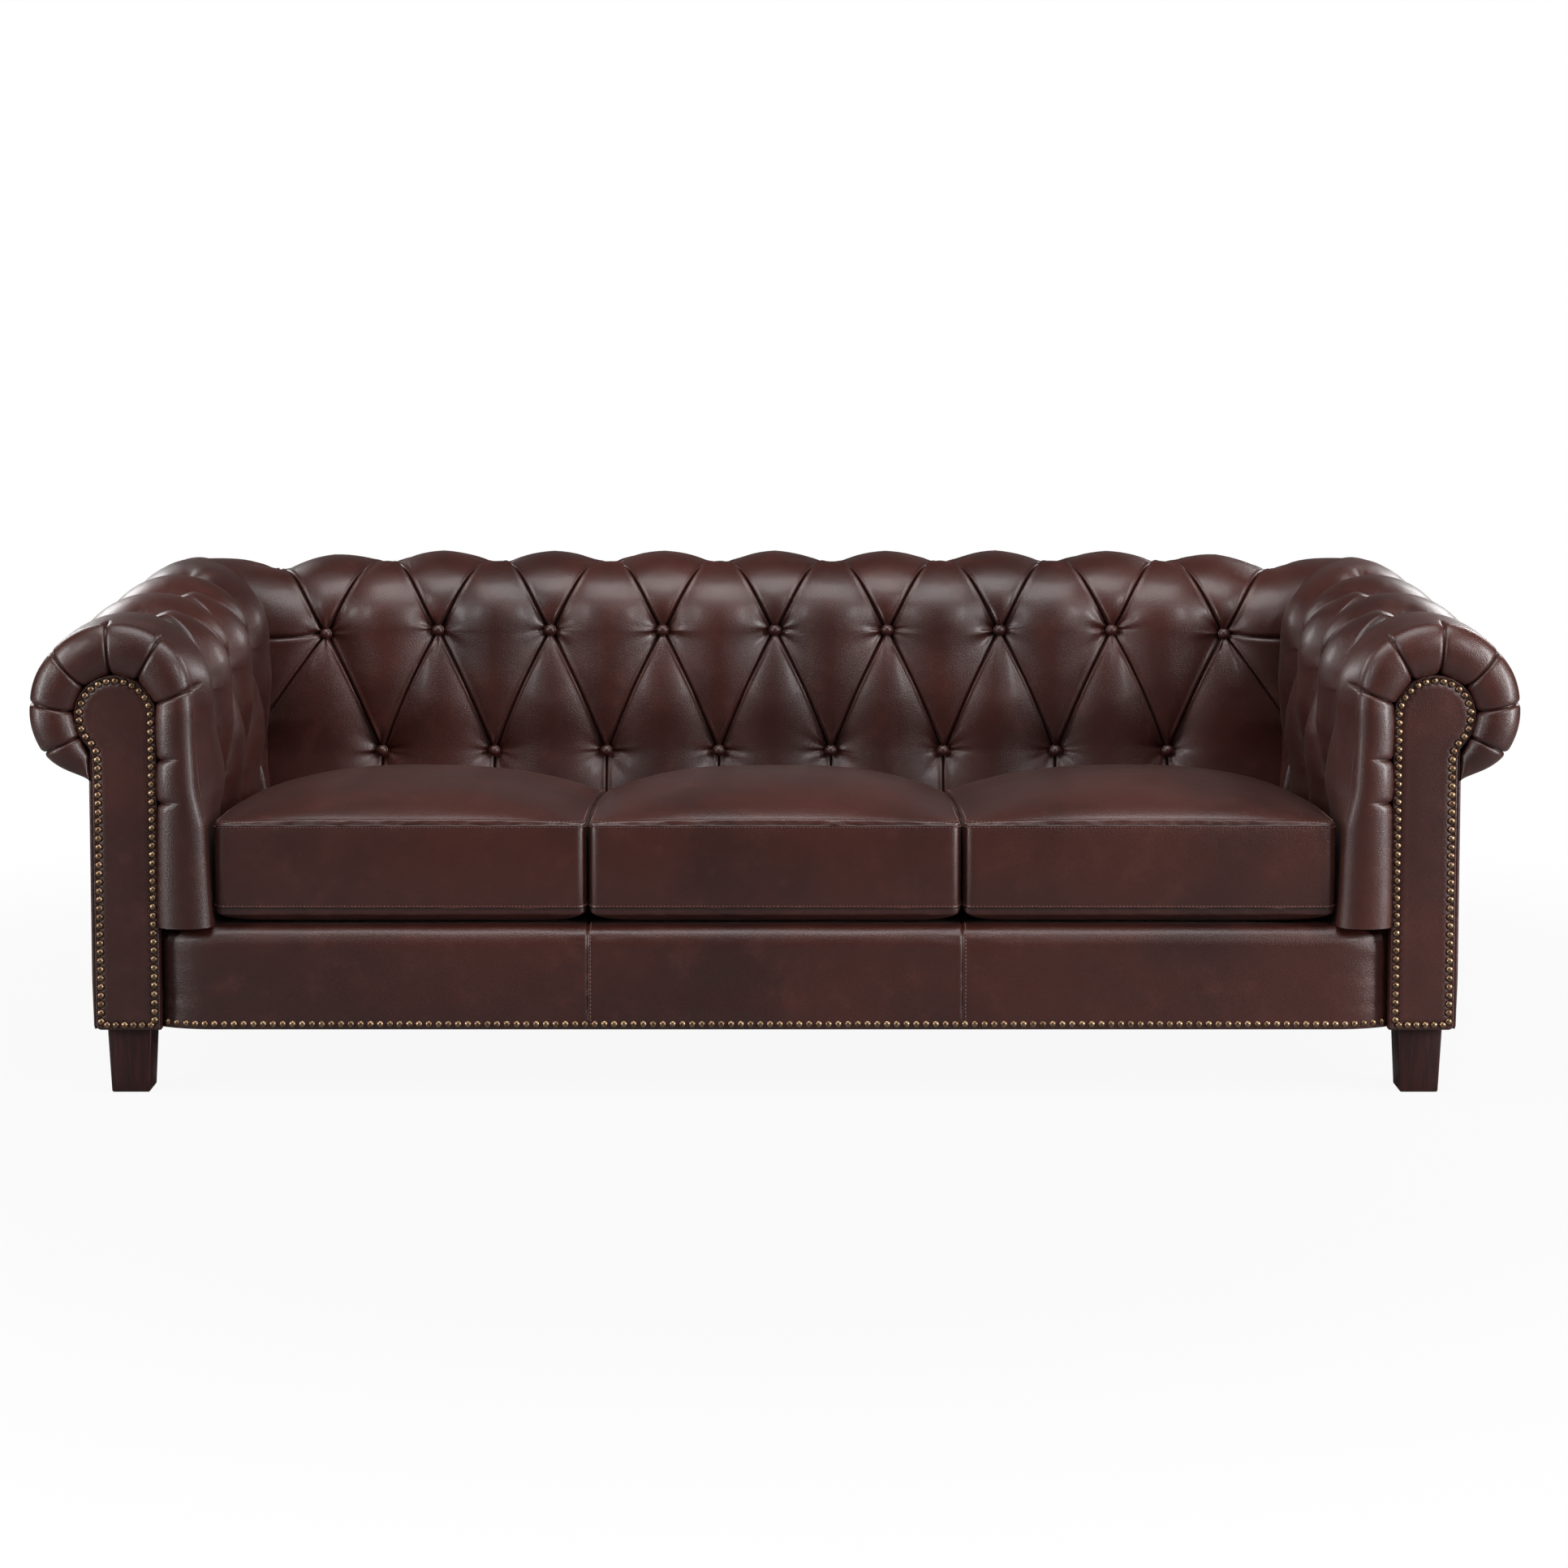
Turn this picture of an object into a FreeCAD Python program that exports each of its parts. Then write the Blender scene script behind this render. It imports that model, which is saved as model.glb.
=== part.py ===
import FreeCAD, Part
import math
import os

# Three-seat leather sofa with rolled, deep-buttoned arms and back, three loose seat cushions
# on a webbed timber frame, nail-trimmed arm fronts and base, and four square tapered feet.
# Millimetres. X runs to the right seen from the front, the front faces -Y, Z is up.
# The origin is on the floor, under the middle of the sofa.

V = FreeCAD.Vector

# Overall size
overall_width = 2286.0
overall_depth = 965.0
back_height = 780.0
arm_height_front = 731.0
arm_rise = 22.0
roll_radius = 132.0
seat_width = 1732.0
overrun = 40.0
fit_gap = 0.3

# Tufted leather: the hide, its quilted wadding and the foam behind it
hide_thickness = 6.0
puff_height = 20.0
puff_edge = 2.0
puff_root = 4.0
pleat_width = 6.0
button_diameter = 18.0
button_height = 8.0
button_clearance = 2.0
back_button_pitch = 195.0
arm_button_pitch = 203.0
lower_button_height = 444.0
first_arm_button = 150.0
front_crown_place = 70.0
back_button_count = 9
arm_button_count = 3
back_lean = 28.0
tuft_bottom = 262.5

# Arm fronts: the keyhole board, its leather facing and the padded pleats around it
bulb_radius = 63.0
bulb_height = 589.0
post_width = 98.5
neck_radius = 30.0
arm_foot_radius = 8.0
board_thickness = 20.0
facing_thickness = 8.0
front_puff_depth = 27.5
front_pleat_width = 4.0
front_pleat_angles = (15.0, 57.0, 95.0, 138.0, 176.0, 212.0)
front_pleat_heights = (543.0, 471.0)
scroll_end_angle = 246.0

# Timber frame
foot_height = 102.0
rail_height = 140.0
arm_rail_bottom = 569.0
rail_thickness = 28.0
cross_rail_height = 110.0
top_rail_height = 50.0
top_rail_depth = 65.0
back_top_rail_depth = 72.0
tuck_rail_height = 40.0
post_depth = 60.0
post_thickness = 45.0
upright_width = 45.0
block_leg = 90.0
block_height = 60.0
side_panel_thickness = 11.0
back_panel_thickness = 8.0
arm_outside_offset = 40.0
back_outside_offset = 69.5

# Feet and their fixings
foot_top = 68.0
foot_bottom = 59.0
foot_inset = 42.0
plate_size = 50.0
plate_thickness = 2.0
bolt_diameter = 8.0
bolt_length = 78.0
bolt_in_foot = 40.0

# Seat deck
spring_wire = 3.6
spring_width = 50.0
spring_half_pitch = 22.0
springs_per_seat = 4
spring_spacing = 140.0
clip_width = 30.0
clip_length = 14.0
clip_wall = 1.2
deck_pad_thickness = 17.0
deck_cover_thickness = 1.8
dust_cover_thickness = 1.2
dust_cover_inset = 30.0

# Front rail padding and cover
rail_front_inset = 20.5
rail_top = 262.0
rail_round = 30.0
rail_hide = 2.0
rail_lip = 60.0
rail_seam_gap = 1.0
rail_seam_place = 289.0
rail_end_gap = 0.8

# Loose cushions
cushion_count = 3
cushion_gap = 3.0
cushion_side_gap = 1.5
cushion_bottom = 265.0
cushion_seam_height = 156.0
cushion_crown = 42.0
cushion_side_crown = 10.0
cushion_front = 455.0
cushion_back = 186.0
cushion_belly = 9.0
cushion_end_draw = 7.0
cushion_shoulder = 45.0
cushion_hide = 2.4
zip_length = 430.0
zip_width = 8.0
zip_thickness = 1.6
zip_height = 300.0
zip_pull_length = 22.0

# Decorative nails
nail_diameter = 10.5
nail_dome = 3.6
nail_inset = 8.0
arm_nail_pitch = 13.6
rail_nail_pitch = 15.0
rail_nail_height = 110.0

# Places worked out from the sizes above
front_y = -overall_depth / 2
back_y = overall_depth / 2
arm_centre_x = overall_width / 2 - roll_radius
arm_centre_z = arm_height_front - roll_radius
back_centre_y = back_y - roll_radius
back_centre_z = back_height - roll_radius
corner_centre_z = arm_centre_z + arm_rise
core_radius = roll_radius - puff_height - puff_edge
foam_radius = core_radius - hide_thickness
arm_lean = arm_centre_x - roll_radius - seat_width / 2
side_rail_outer = arm_centre_x + arm_outside_offset - side_panel_thickness
side_rail_inner = side_rail_outer - rail_thickness
post_inner = side_rail_inner - post_thickness
back_rail_outer = back_centre_y + back_outside_offset - back_panel_thickness
back_rail_inner = back_rail_outer - rail_thickness
board_front = front_y + front_puff_depth
board_back = board_front + board_thickness
front_rail_inner = board_back + rail_thickness
rail_top_z = foot_height + rail_height
mitre_offset = arm_centre_x - back_centre_y
spring_z = rail_top_z + spring_wire / 2
deck_z = rail_top_z + spring_wire + fit_gap
foot_x = side_rail_outer - foot_inset
front_foot_y = board_front + foot_inset
back_foot_y = back_rail_outer - foot_top / 2
cushion_width = (seat_width - 2 * cushion_side_gap - (cushion_count - 1) * cushion_gap) / cushion_count
seat_pitch = cushion_width + cushion_gap


def box(x0, x1, y0, y1, z0, z1):
    return Part.makeBox(x1 - x0, y1 - y0, z1 - z0, V(x0, y0, z0))


def prism(points, direction):
    wire = Part.makePolygon(points + [points[0]])
    return Part.Face(wire).extrude(direction)


def save(name, shape):
    solids = shape.Solids
    kept = solids[0] if len(solids) == 1 else Part.makeCompound(solids)
    kept.exportStep("parts/" + name + ".step")
    print(name, len(solids), kept.isValid(), round(sum(s.Volume for s in solids) / 1000))


def mirrored(shape):
    return shape.mirror(V(0, 0, 0), V(1, 0, 0))


def save_pair(name, shape):
    save("left_" + name, shape)
    save("right_" + name, mirrored(shape))


class Roll:
    """The padded section that arms and back share, laid out along a straight line.

    Place along the line is x, u points outward from the seat, and z is up. The seat face
    leans from the roll down to the tuck, and s is the distance along it from the place
    where it meets the roll: negative down the face, positive over the roll.
    """

    def __init__(self, start_z, end_z, length, lean, outside, frame):
        self.start_z = start_z
        self.end_z = end_z
        self.length = length
        self.lean = lean
        self.outside = outside
        self.frame = frame

    def centre(self, x):
        return self.start_z + (self.end_z - self.start_z) * x / self.length

    def point(self, x, s, lift):
        centre = self.centre(x)
        reach = core_radius + lift
        if s <= 0:
            down = s / (tuft_bottom - self.centre(self.length / 2))
            return V(x, -(reach + self.lean * down), centre + (tuft_bottom - centre) * down)
        turn = s / roll_radius
        return V(x, -reach * math.cos(turn), centre + reach * math.sin(turn))

    def underside(self, radius):
        return math.sqrt(radius ** 2 - self.outside ** 2)

    def end_place(self):
        """Place along the section where the cells stop, just short of the outside panel."""
        turn = math.pi + math.atan2(self.underside(foam_radius), self.outside)
        return roll_radius * turn - button_diameter

    def band(self, x):
        """Section of the hide and wadding, open towards the frame."""
        centre = self.centre(x)
        outer = self.profile(x, centre, core_radius)
        inner = self.profile(x, centre, foam_radius)
        edges = outer + inner
        ends_outer = (V(x, -core_radius - self.lean, tuft_bottom), self.end_point(x, centre, core_radius))
        ends_inner = (V(x, -foam_radius - self.lean, tuft_bottom), self.end_point(x, centre, foam_radius))
        edges.append(Part.makeLine(ends_outer[0], ends_inner[0]))
        edges.append(Part.makeLine(ends_outer[1], ends_inner[1]))
        return Part.Wire(Part.__sortEdges__(edges))

    def end_point(self, x, centre, radius):
        return V(x, self.outside, centre - self.underside(radius))

    def profile(self, x, centre, radius):
        foot = V(x, -radius - self.lean, tuft_bottom)
        shoulder = V(x, -radius, centre)
        crest = V(x, 0, centre + radius)
        rim = V(x, radius, centre)
        end = self.end_point(x, centre, radius)
        half = radius * math.sqrt(0.5)
        low = math.atan2(self.underside(radius), self.outside) / 2
        under = V(x, radius * math.cos(low), centre - radius * math.sin(low))
        return [
            Part.makeLine(foot, shoulder),
            Part.Arc(shoulder, V(x, -half, centre + half), crest).toShape(),
            Part.Arc(crest, V(x, half, centre + half), rim).toShape(),
            Part.Arc(rim, under, end).toShape(),
        ]

    def filling(self, x):
        """Section of the foam: inside the hide, outside the frame."""
        centre = self.centre(x)
        radius = foam_radius - fit_gap
        edges = self.profile(x, centre, radius)
        end = self.end_point(x, centre, radius)
        corners = [
            end,
            V(x, self.outside, arm_rail_bottom),
            V(x, self.frame, arm_rail_bottom),
            V(x, self.frame, tuft_bottom),
            V(x, -radius - self.lean, tuft_bottom),
        ]
        edges += [Part.makeLine(corners[n], corners[n + 1]) for n in range(len(corners) - 1)]
        return Part.Wire(Part.__sortEdges__(edges))

    def hide(self, places):
        """The plain hide, with a seam in its surface at each place along the line."""
        return Part.makeLoft([self.band(x) for x in places], True, True)

    def foam(self, x0, x1):
        return Part.makeLoft([self.filling(x0), self.filling(x1)], True, True)

    def cell(self, stations):
        """One padded cell between pleats, lofted through arcs at the given stations."""
        wires = []
        for s, x0, x1, share in stations:
            middle = (x0 + x1) / 2
            crown = puff_height * share * min(1, math.sqrt((x1 - x0) / back_button_pitch))
            left = self.point(x0, s, puff_edge)
            right = self.point(x1, s, puff_edge)
            left_root = self.point(x0, s, -puff_root)
            right_root = self.point(x1, s, -puff_root)
            top = self.point(middle, s, puff_edge + crown)
            wires.append(Part.Wire([
                Part.makeLine(left_root, left),
                Part.Arc(left, top, right).toShape(),
                Part.makeLine(right, right_root),
                Part.makeLine(right_root, left_root),
            ]))
        return Part.makeLoft(wires, True, False)

    def button(self, x, s):
        seat = self.point(x, s, fit_gap)
        along = self.point(x, s + button_height, 0) - self.point(x, s - button_height, 0)
        return dome(button_diameter, button_height, seat, V(1, 0, 0).cross(along))


def dome(diameter, height, seat, outward):
    radius = ((diameter / 2) ** 2 + height ** 2) / (2 * height)
    rise = math.degrees(math.asin((radius - height) / radius))
    cap = Part.makeSphere(radius, V(0, 0, height - radius), V(0, 0, 1), rise, 90, 360)
    cap.Placement = FreeCAD.Placement(seat, FreeCAD.Rotation(V(0, 0, 1), outward))
    return cap


# A pleat tapers between two buttons; these shares of its length carry the stations
taper_shares = (0.93, 0.75, 0.5, 0.25)
# Straight channels beyond the last buttons are lofted at these shares of their length
run_on_shares = (0.16, 0.33, 0.5, 0.67, 0.84, 1.0)
# The corner puff rises from the end button to the crest at these shares of a quarter turn
corner_rise_shares = (0.12, 0.34, 0.56, 0.78, 1.0)
end_flattening_share = 0.4
# The arm's first puff is broad and shallow at the tuck and fills out towards the shoulder
front_fullness_shares = (0.5, 0.55, 0.7, 0.85, 1.0)
button_room = button_diameter / 2 + button_clearance


def diamond_stations(left, right, low, high):
    """A whole diamond: its side corners at left and right, its tips at s = low and s = high."""
    middle = (left + right) / 2
    half = (right - left) / 2
    rows = []
    for share in taper_shares:
        reach = half * (1 - share) - pleat_width / 2 + button_clearance * share
        rows.append((low * share, middle - reach, middle + reach, 1))
    rows.append((0, left + button_room, right - button_room, 1))
    for share in reversed(taper_shares):
        reach = half * (1 - share) - pleat_width / 2 + button_clearance * share
        rows.append((high * share, middle - reach, middle + reach, 1))
    return rows


def fan_stations(middle, left, right, turn, end):
    """A cell that starts at a button, widens until s = turn and runs on straight to s = end."""
    rows = []
    for share in reversed(taper_shares):
        near = 1 - share
        x0 = middle + (left - middle) * near + pleat_width / 2 - button_clearance * share
        x1 = middle + (right - middle) * near - pleat_width / 2 + button_clearance * share
        rows.append((turn * near, x0, x1, 1))
    rows.sort(key=lambda row: abs(row[0]))
    rows.append((turn, left + button_room, right - button_room, 1))
    for share in run_on_shares:
        place = turn + (end - turn) * share
        rows.append((place, left + pleat_width / 2, right - pleat_width / 2, flattened(share)))
    return rows


def flattened(share):
    """How full a channel still is at a share of its length: it is pulled flat at its very end."""
    return 1 - end_flattening_share * share ** 4


quarter = roll_radius * math.pi / 2


# Back: pad along X between the arms, with a lower corner piece at each end
def back_pad():
    main = Roll(back_centre_z, back_centre_z, overall_width, back_lean, back_outside_offset, 0)
    low = lower_button_height - back_centre_z
    bottom = tuft_bottom - back_centre_z
    end = main.end_place()
    half_span = back_button_pitch * back_button_count / 2
    columns = [n * back_button_pitch for n in range(-(back_button_count // 2), back_button_count // 2 + 1)]
    half = back_button_pitch / 2
    hide = main.hide([x - half for x in columns] + [half_span])
    cells = []
    for x in columns[:-1]:
        cells.append(main.cell(diamond_stations(x, x + back_button_pitch, low, quarter)))
    for x in columns:
        cells.append(main.cell(fan_stations(x, x - half, x + half, quarter, end)))
    for x in columns[1:-1]:
        cells.append(main.cell(fan_stations(x, x - half, x + half, low, bottom)))
    last = columns[-1]
    wall = seat_width / 2
    for side in (1, -1):
        rows = []
        for s, x0, x1, share in fan_stations(last, last - half, last + half, low, bottom):
            rows.append((s,) + tuple(sorted((side * x0, side * (wall - fit_gap)))) + (share,))
        cells.append(main.cell(rows))
    buttons = [main.button(x, 0) for x in columns]
    buttons += [main.button(x + half, low) for x in columns[:-1]]
    buttons += [main.button(x - half, quarter) for x in columns] + [main.button(last + half, quarter)]
    foam_end = half_span - pleat_width / 2 - fit_gap
    foams = [main.foam(-foam_end, foam_end)]
    corner = Roll(corner_centre_z, corner_centre_z, overall_width, back_lean, back_outside_offset, 0)
    corner_end = corner.end_place()
    reach = overall_width / 2 + overrun
    corner_cells = []
    for side in (1, -1):
        near = side * (half_span - pleat_width / 2)
        ends = sorted((near, side * reach))
        hide = hide.fuse(corner.hide(ends))
        foam_ends = sorted((side * (half_span + fit_gap), side * reach))
        foams.append(corner.foam(foam_ends[0], foam_ends[1]))
        outer = side * (arm_centre_x + roll_radius + overrun)
        inner = side * (half_span + button_clearance)
        start = side * (last + button_room)
        rows = []
        for share in corner_rise_shares:
            edge = start + (inner - start) * share
            rows.append((quarter * share,) + tuple(sorted((edge, outer))) + (1,))
        for share in run_on_shares:
            place = quarter + (corner_end - quarter) * share
            rows.append((place,) + tuple(sorted((inner, outer))) + (flattened(share),))
        corner_cells.append(corner.cell(rows))
    foams[0] = foams[0].cut(corner_cells)
    return hide.fuse(cells + corner_cells), Part.makeCompound(foams), Part.makeCompound(buttons)


def mitre_cutter(side):
    """Everything that belongs to an arm at the corner, where the two rolls meet at 45 degrees."""
    reach = overall_width
    start = side * mitre_offset
    return prism([
        V(start - side * reach, -reach, 0),
        V(start + side * reach, reach, 0),
        V(start + side * 3 * reach, reach, 0),
        V(start + side * 3 * reach, -reach, 0),
    ], V(0, 0, overall_width))


# Arms: the same section along Y, turned so that the seat face looks at the seat
def arm_pad():
    length = overall_depth
    frame = post_inner - arm_centre_x
    roll = Roll(arm_centre_z, corner_centre_z, length, arm_lean, arm_outside_offset, frame)
    low = lower_button_height - roll.centre(length / 2)
    bottom = tuft_bottom - roll.centre(length / 2)
    end = roll.end_place()
    half = arm_button_pitch / 2
    columns = [first_arm_button + n * arm_button_pitch for n in range(arm_button_count)]
    after = columns[-1] + arm_button_pitch
    hide = roll.hide([front_puff_depth] + [x + half for x in columns] + [length + overrun])
    foam = roll.foam(front_puff_depth + fit_gap, length)
    cells = []
    for x in columns:
        cells.append(roll.cell(diamond_stations(x, x + arm_button_pitch, low, quarter)))
    for x in columns[1:] + [after]:
        cells.append(roll.cell(fan_stations(x, x - half, x + half, quarter, end)))
    for x in columns[1:] + [after]:
        cells.append(roll.cell(fan_stations(x, x - half, x + half, low, bottom)))
    start = 2 * front_crown_place - columns[0] - half
    edge = pleat_width / 2
    far = columns[0] + half
    face = [
        (bottom, far - edge),
        ((bottom + low) / 2, far - edge),
        (low, far - button_room),
        (low / 2, columns[0] + half / 2 - edge),
        (0, columns[0] - button_room),
    ]
    front = [(s, start, reach, share) for (s, reach), share in zip(face, front_fullness_shares)]
    front.append((quarter / 3, start, columns[0] + half / 3 - edge, 1))
    front.append((quarter * 2 / 3, start, columns[0] + half * 2 / 3 - edge, 1))
    front.append((quarter, start, far - button_room, 1))
    for share in run_on_shares:
        place = quarter + (end - quarter) * share
        front.append((place, start, far - edge, flattened(share)))
    front_cell = roll.cell(front)
    ahead = box(-overall_depth, front_puff_depth, -overall_depth, overall_depth, 0, overall_width)
    cells.append(front_cell.cut(ahead))
    buttons = [roll.button(x, 0) for x in columns]
    buttons += [roll.button(x + half, low) for x in columns]
    buttons += [roll.button(x + half, quarter) for x in columns]
    return hide.fuse(cells), foam, Part.makeCompound(buttons)


def place_arm(shape):
    """Turn a shape from the arm's own layout to the left arm of the sofa."""
    turned = shape.copy()
    turned.rotate(V(0, 0, 0), V(0, 0, 1), 90)
    turned.translate(V(-arm_centre_x, front_y, 0))
    return turned


# Keyhole outline of the arm front, grown or shrunk by an offset
def keyhole(offset):
    x = -arm_centre_x
    radius = bulb_radius + offset
    inner = x + radius
    outer = x + bulb_radius - post_width - offset
    bend = neck_radius - offset
    neck_x = outer - bend
    drop = math.sqrt((radius + bend) ** 2 - (x - neck_x) ** 2)
    neck_z = bulb_height - drop
    share = radius / (radius + bend)
    joint = V(x + (neck_x - x) * share, 0, bulb_height - drop * share)
    return x, radius, inner, outer, bend, neck_x, neck_z, joint


def keyhole_wire(offset, y):
    x, radius, inner, outer, bend, neck_x, neck_z, joint = keyhole(offset)
    bottom = foot_height - offset
    half = math.sqrt(0.5)
    to_joint = math.atan2(joint.z - neck_z, joint.x - neck_x) / 2
    left_side = V(x - radius, y, bulb_height)
    low_turn = (math.pi + math.atan2(bulb_height - joint.z, x - joint.x) + math.pi) / 2
    edges = [
        Part.makeLine(V(outer + arm_foot_radius, y, bottom), V(inner, y, bottom)),
        Part.makeLine(V(inner, y, bottom), V(inner, y, bulb_height)),
        Part.Arc(
            V(inner, y, bulb_height),
            V(x + radius * half, y, bulb_height + radius * half),
            V(x, y, bulb_height + radius),
        ).toShape(),
        Part.Arc(
            V(x, y, bulb_height + radius),
            V(x - radius * half, y, bulb_height + radius * half),
            left_side,
        ).toShape(),
        Part.Arc(
            left_side,
            V(x + radius * math.cos(low_turn), y, bulb_height + radius * math.sin(low_turn)),
            V(joint.x, y, joint.z),
        ).toShape(),
        Part.Arc(
            V(joint.x, y, joint.z),
            V(neck_x + bend * math.cos(to_joint), y, neck_z + bend * math.sin(to_joint)),
            V(outer, y, neck_z),
        ).toShape(),
        Part.makeLine(V(outer, y, neck_z), V(outer, y, bottom + arm_foot_radius)),
        Part.Arc(
            V(outer, y, bottom + arm_foot_radius),
            V(outer + arm_foot_radius * (1 - half), y, bottom + arm_foot_radius * (1 - half)),
            V(outer + arm_foot_radius, y, bottom),
        ).toShape(),
    ]
    return Part.Wire(edges)


def keyhole_prism(offset, y0, y1):
    return Part.Face(keyhole_wire(offset, y0)).extrude(V(0, y1 - y0, 0))


# Pleats are cut into the ring over these shares of the roll's radius and the puff's bulge
pleat_reach_shares = (0.5, 1.1)
pleat_depth_share = 0.55
short_pleat_share = 0.6


# Padded pleats round the keyhole: a rounded ring over the roll, a straight puff beside the post
def front_puffs():
    centre = V(-arm_centre_x, board_front, arm_centre_z)
    inner = bulb_radius - nail_inset
    bulge = board_front - front_y
    section = Part.Wire([
        Part.makeLine(V(inner, 0, 0), V(roll_radius, 0, 0)),
        Part.Arc(
            V(roll_radius, 0, 0),
            V((inner + roll_radius) / 2, -bulge, 0),
            V(inner, 0, 0),
        ).toShape(),
    ])
    face = Part.Face(section)
    face.translate(centre)
    ring = face.revolve(centre, V(0, -1, 0), scroll_end_angle)
    puff_inner = -arm_centre_x + inner
    puff_outer = -seat_width / 2
    straight = Part.Wire([
        Part.makeLine(V(puff_inner, board_front, tuft_bottom), V(puff_outer, board_front, tuft_bottom)),
        Part.Arc(
            V(puff_outer, board_front, tuft_bottom),
            V((puff_inner + puff_outer) / 2, front_y, tuft_bottom),
            V(puff_inner, board_front, tuft_bottom),
        ).toShape(),
    ])
    top = Part.Wire([
        Part.makeLine(V(puff_inner, board_front, arm_centre_z),
                      V(centre.x + roll_radius, board_front, arm_centre_z)),
        Part.Arc(
            V(centre.x + roll_radius, board_front, arm_centre_z),
            V(centre.x + (inner + roll_radius) / 2, front_y, arm_centre_z),
            V(puff_inner, board_front, arm_centre_z),
        ).toShape(),
    ])
    column = Part.makeLoft([straight, top], True, True)
    puffs = ring.fuse(column)
    slots = []
    near, far = [roll_radius * share for share in pleat_reach_shares]
    wide = front_pleat_width / 2
    floor = -bulge * (1 - pleat_depth_share)
    for angle in front_pleat_angles:
        slot = box(near, far, floor - bulge, floor, -wide, wide)
        slot.rotate(V(0, 0, 0), V(0, -1, 0), angle)
        slot.translate(centre)
        slots.append(slot)
    for height in front_pleat_heights:
        slots.append(box(
            puff_inner, puff_inner + roll_radius * short_pleat_share,
            front_y - bulge, board_front + floor, height - wide, height + wide,
        ))
    return puffs.cut(slots).cut(keyhole_prism(fit_gap, front_y - bulge, back_y))


# Nails sit on a line inside the keyhole's edge, at an even pitch
def arm_nails():
    wire = keyhole_wire(-nail_inset, board_front - facing_thickness)
    count = round(wire.Length / arm_nail_pitch)
    points = wire.discretize(Number=count + 1)[:-1]
    outward = V(0, -1, 0)
    return Part.makeCompound([dome(nail_diameter, nail_dome, point, outward) for point in points])


# Fullness of the cushion at its ends, at its shoulders and in the middle
cushion_fullness_shares = (0, 0.62, 1, 0.62, 0)


# Cushion: lofted through sections that crown up and draw in towards the ends
def cushion_section(x, inset, crown, draw):
    front = -cushion_front + inset + draw
    back = cushion_back - inset
    low = cushion_bottom + inset
    high = cushion_bottom + cushion_seam_height - inset
    belly = cushion_belly * (1 - draw / (2 * cushion_end_draw))
    tuck = cushion_belly
    edges = [
        Part.makeLine(V(x, front + tuck, low), V(x, back, low)),
        Part.makeLine(V(x, back, low), V(x, back, high)),
        Part.Arc(V(x, back, high), V(x, (front + back) / 2, high + crown), V(x, front, high)).toShape(),
        Part.Arc(
            V(x, front, high),
            V(x, front - belly + tuck / 2, (low + high) / 2),
            V(x, front + tuck, low),
        ).toShape(),
    ]
    return Part.Wire(edges)


def cushion_body(middle, inset):
    half = cushion_width / 2 - inset
    places = (-half, -half + cushion_shoulder, 0, half - cushion_shoulder, half)
    wires = []
    for place, share in zip(places, cushion_fullness_shares):
        crown = cushion_side_crown + (cushion_crown - cushion_side_crown) * share
        draw = cushion_end_draw * (1 - share)
        wires.append(cushion_section(middle + place, inset, crown, draw))
    return Part.makeLoft(wires, True, False)


def cushion(name, middle):
    outside = cushion_body(middle, 0)
    save(name + "_cushion_cover", outside.cut(cushion_body(middle, cushion_hide)))
    save(name + "_cushion_foam", cushion_body(middle, cushion_hide + fit_gap))
    teeth = box(
        middle - zip_length / 2, middle + zip_length / 2,
        cushion_back, cushion_back + zip_thickness,
        zip_height - zip_width / 2, zip_height + zip_width / 2,
    )
    pull = box(
        middle + zip_length / 2, middle + zip_length / 2 + zip_pull_length,
        cushion_back, cushion_back + zip_thickness,
        zip_height - zip_width / 4, zip_height + zip_width / 4,
    )
    save(name + "_cushion_zip", teeth.fuse(pull).removeSplitter())


# Zig-zag seat spring: straight runs across, joined by round bends
def seat_spring(x):
    start = board_back + rail_thickness / 2
    finish = back_rail_inner + rail_thickness / 2
    count = int((finish - start) / spring_half_pitch)
    step = (finish - start) / count
    bend = step / 2
    run = spring_width / 2 - bend
    edges = []
    side = 1
    y = start
    for n in range(count):
        edges.append(Part.makeLine(V(x - side * run, y, spring_z), V(x + side * run, y, spring_z)))
        edges.append(Part.Arc(
            V(x + side * run, y, spring_z),
            V(x + side * (run + bend), y + bend, spring_z),
            V(x + side * run, y + step, spring_z),
        ).toShape())
        y += step
        side = -side
    edges.append(Part.makeLine(V(x - side * run, y, spring_z), V(x + side * run, y, spring_z)))
    path = Part.Wire(edges)
    circle = Part.Wire(Part.makeCircle(spring_wire / 2, V(x - run, start, spring_z), V(1, 0, 0)))
    return path.makePipeShell([circle], True, False)


def spring_columns():
    columns = []
    for seat in range(cushion_count):
        middle = (seat - (cushion_count - 1) / 2) * seat_pitch
        for n in range(springs_per_seat):
            columns.append(middle + (n - (springs_per_seat - 1) / 2) * spring_spacing)
    return columns


def spring_clip(x, y):
    height = spring_wire + fit_gap + clip_wall
    plate = box(x - clip_width / 2, x + clip_width / 2, y - clip_length / 2, y + clip_length / 2,
                rail_top_z, rail_top_z + height)
    room = box(x - clip_width, x + clip_width, y - spring_wire / 2 - fit_gap, y + spring_wire / 2 + fit_gap,
               rail_top_z, rail_top_z + spring_wire + fit_gap)
    return plate.cut(room)


def foot(x, y):
    top = foot_top / 2
    low = foot_bottom / 2
    square = [(-1, -1), (1, -1), (1, 1), (-1, 1)]
    upper = Part.makePolygon([V(x + a * top, y + b * top, foot_height) for a, b in square + square[:1]])
    lower = Part.makePolygon([V(x + a * low, y + b * low, 0) for a, b in square + square[:1]])
    leg = Part.makeLoft([lower, upper], True, True)
    room = plate_size / 2 + fit_gap
    pocket = box(x - room, x + room, y - room, y + room, foot_height - plate_thickness, foot_height + top)
    return leg.cut(pocket).cut(bolt_hole(x, y))


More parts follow.
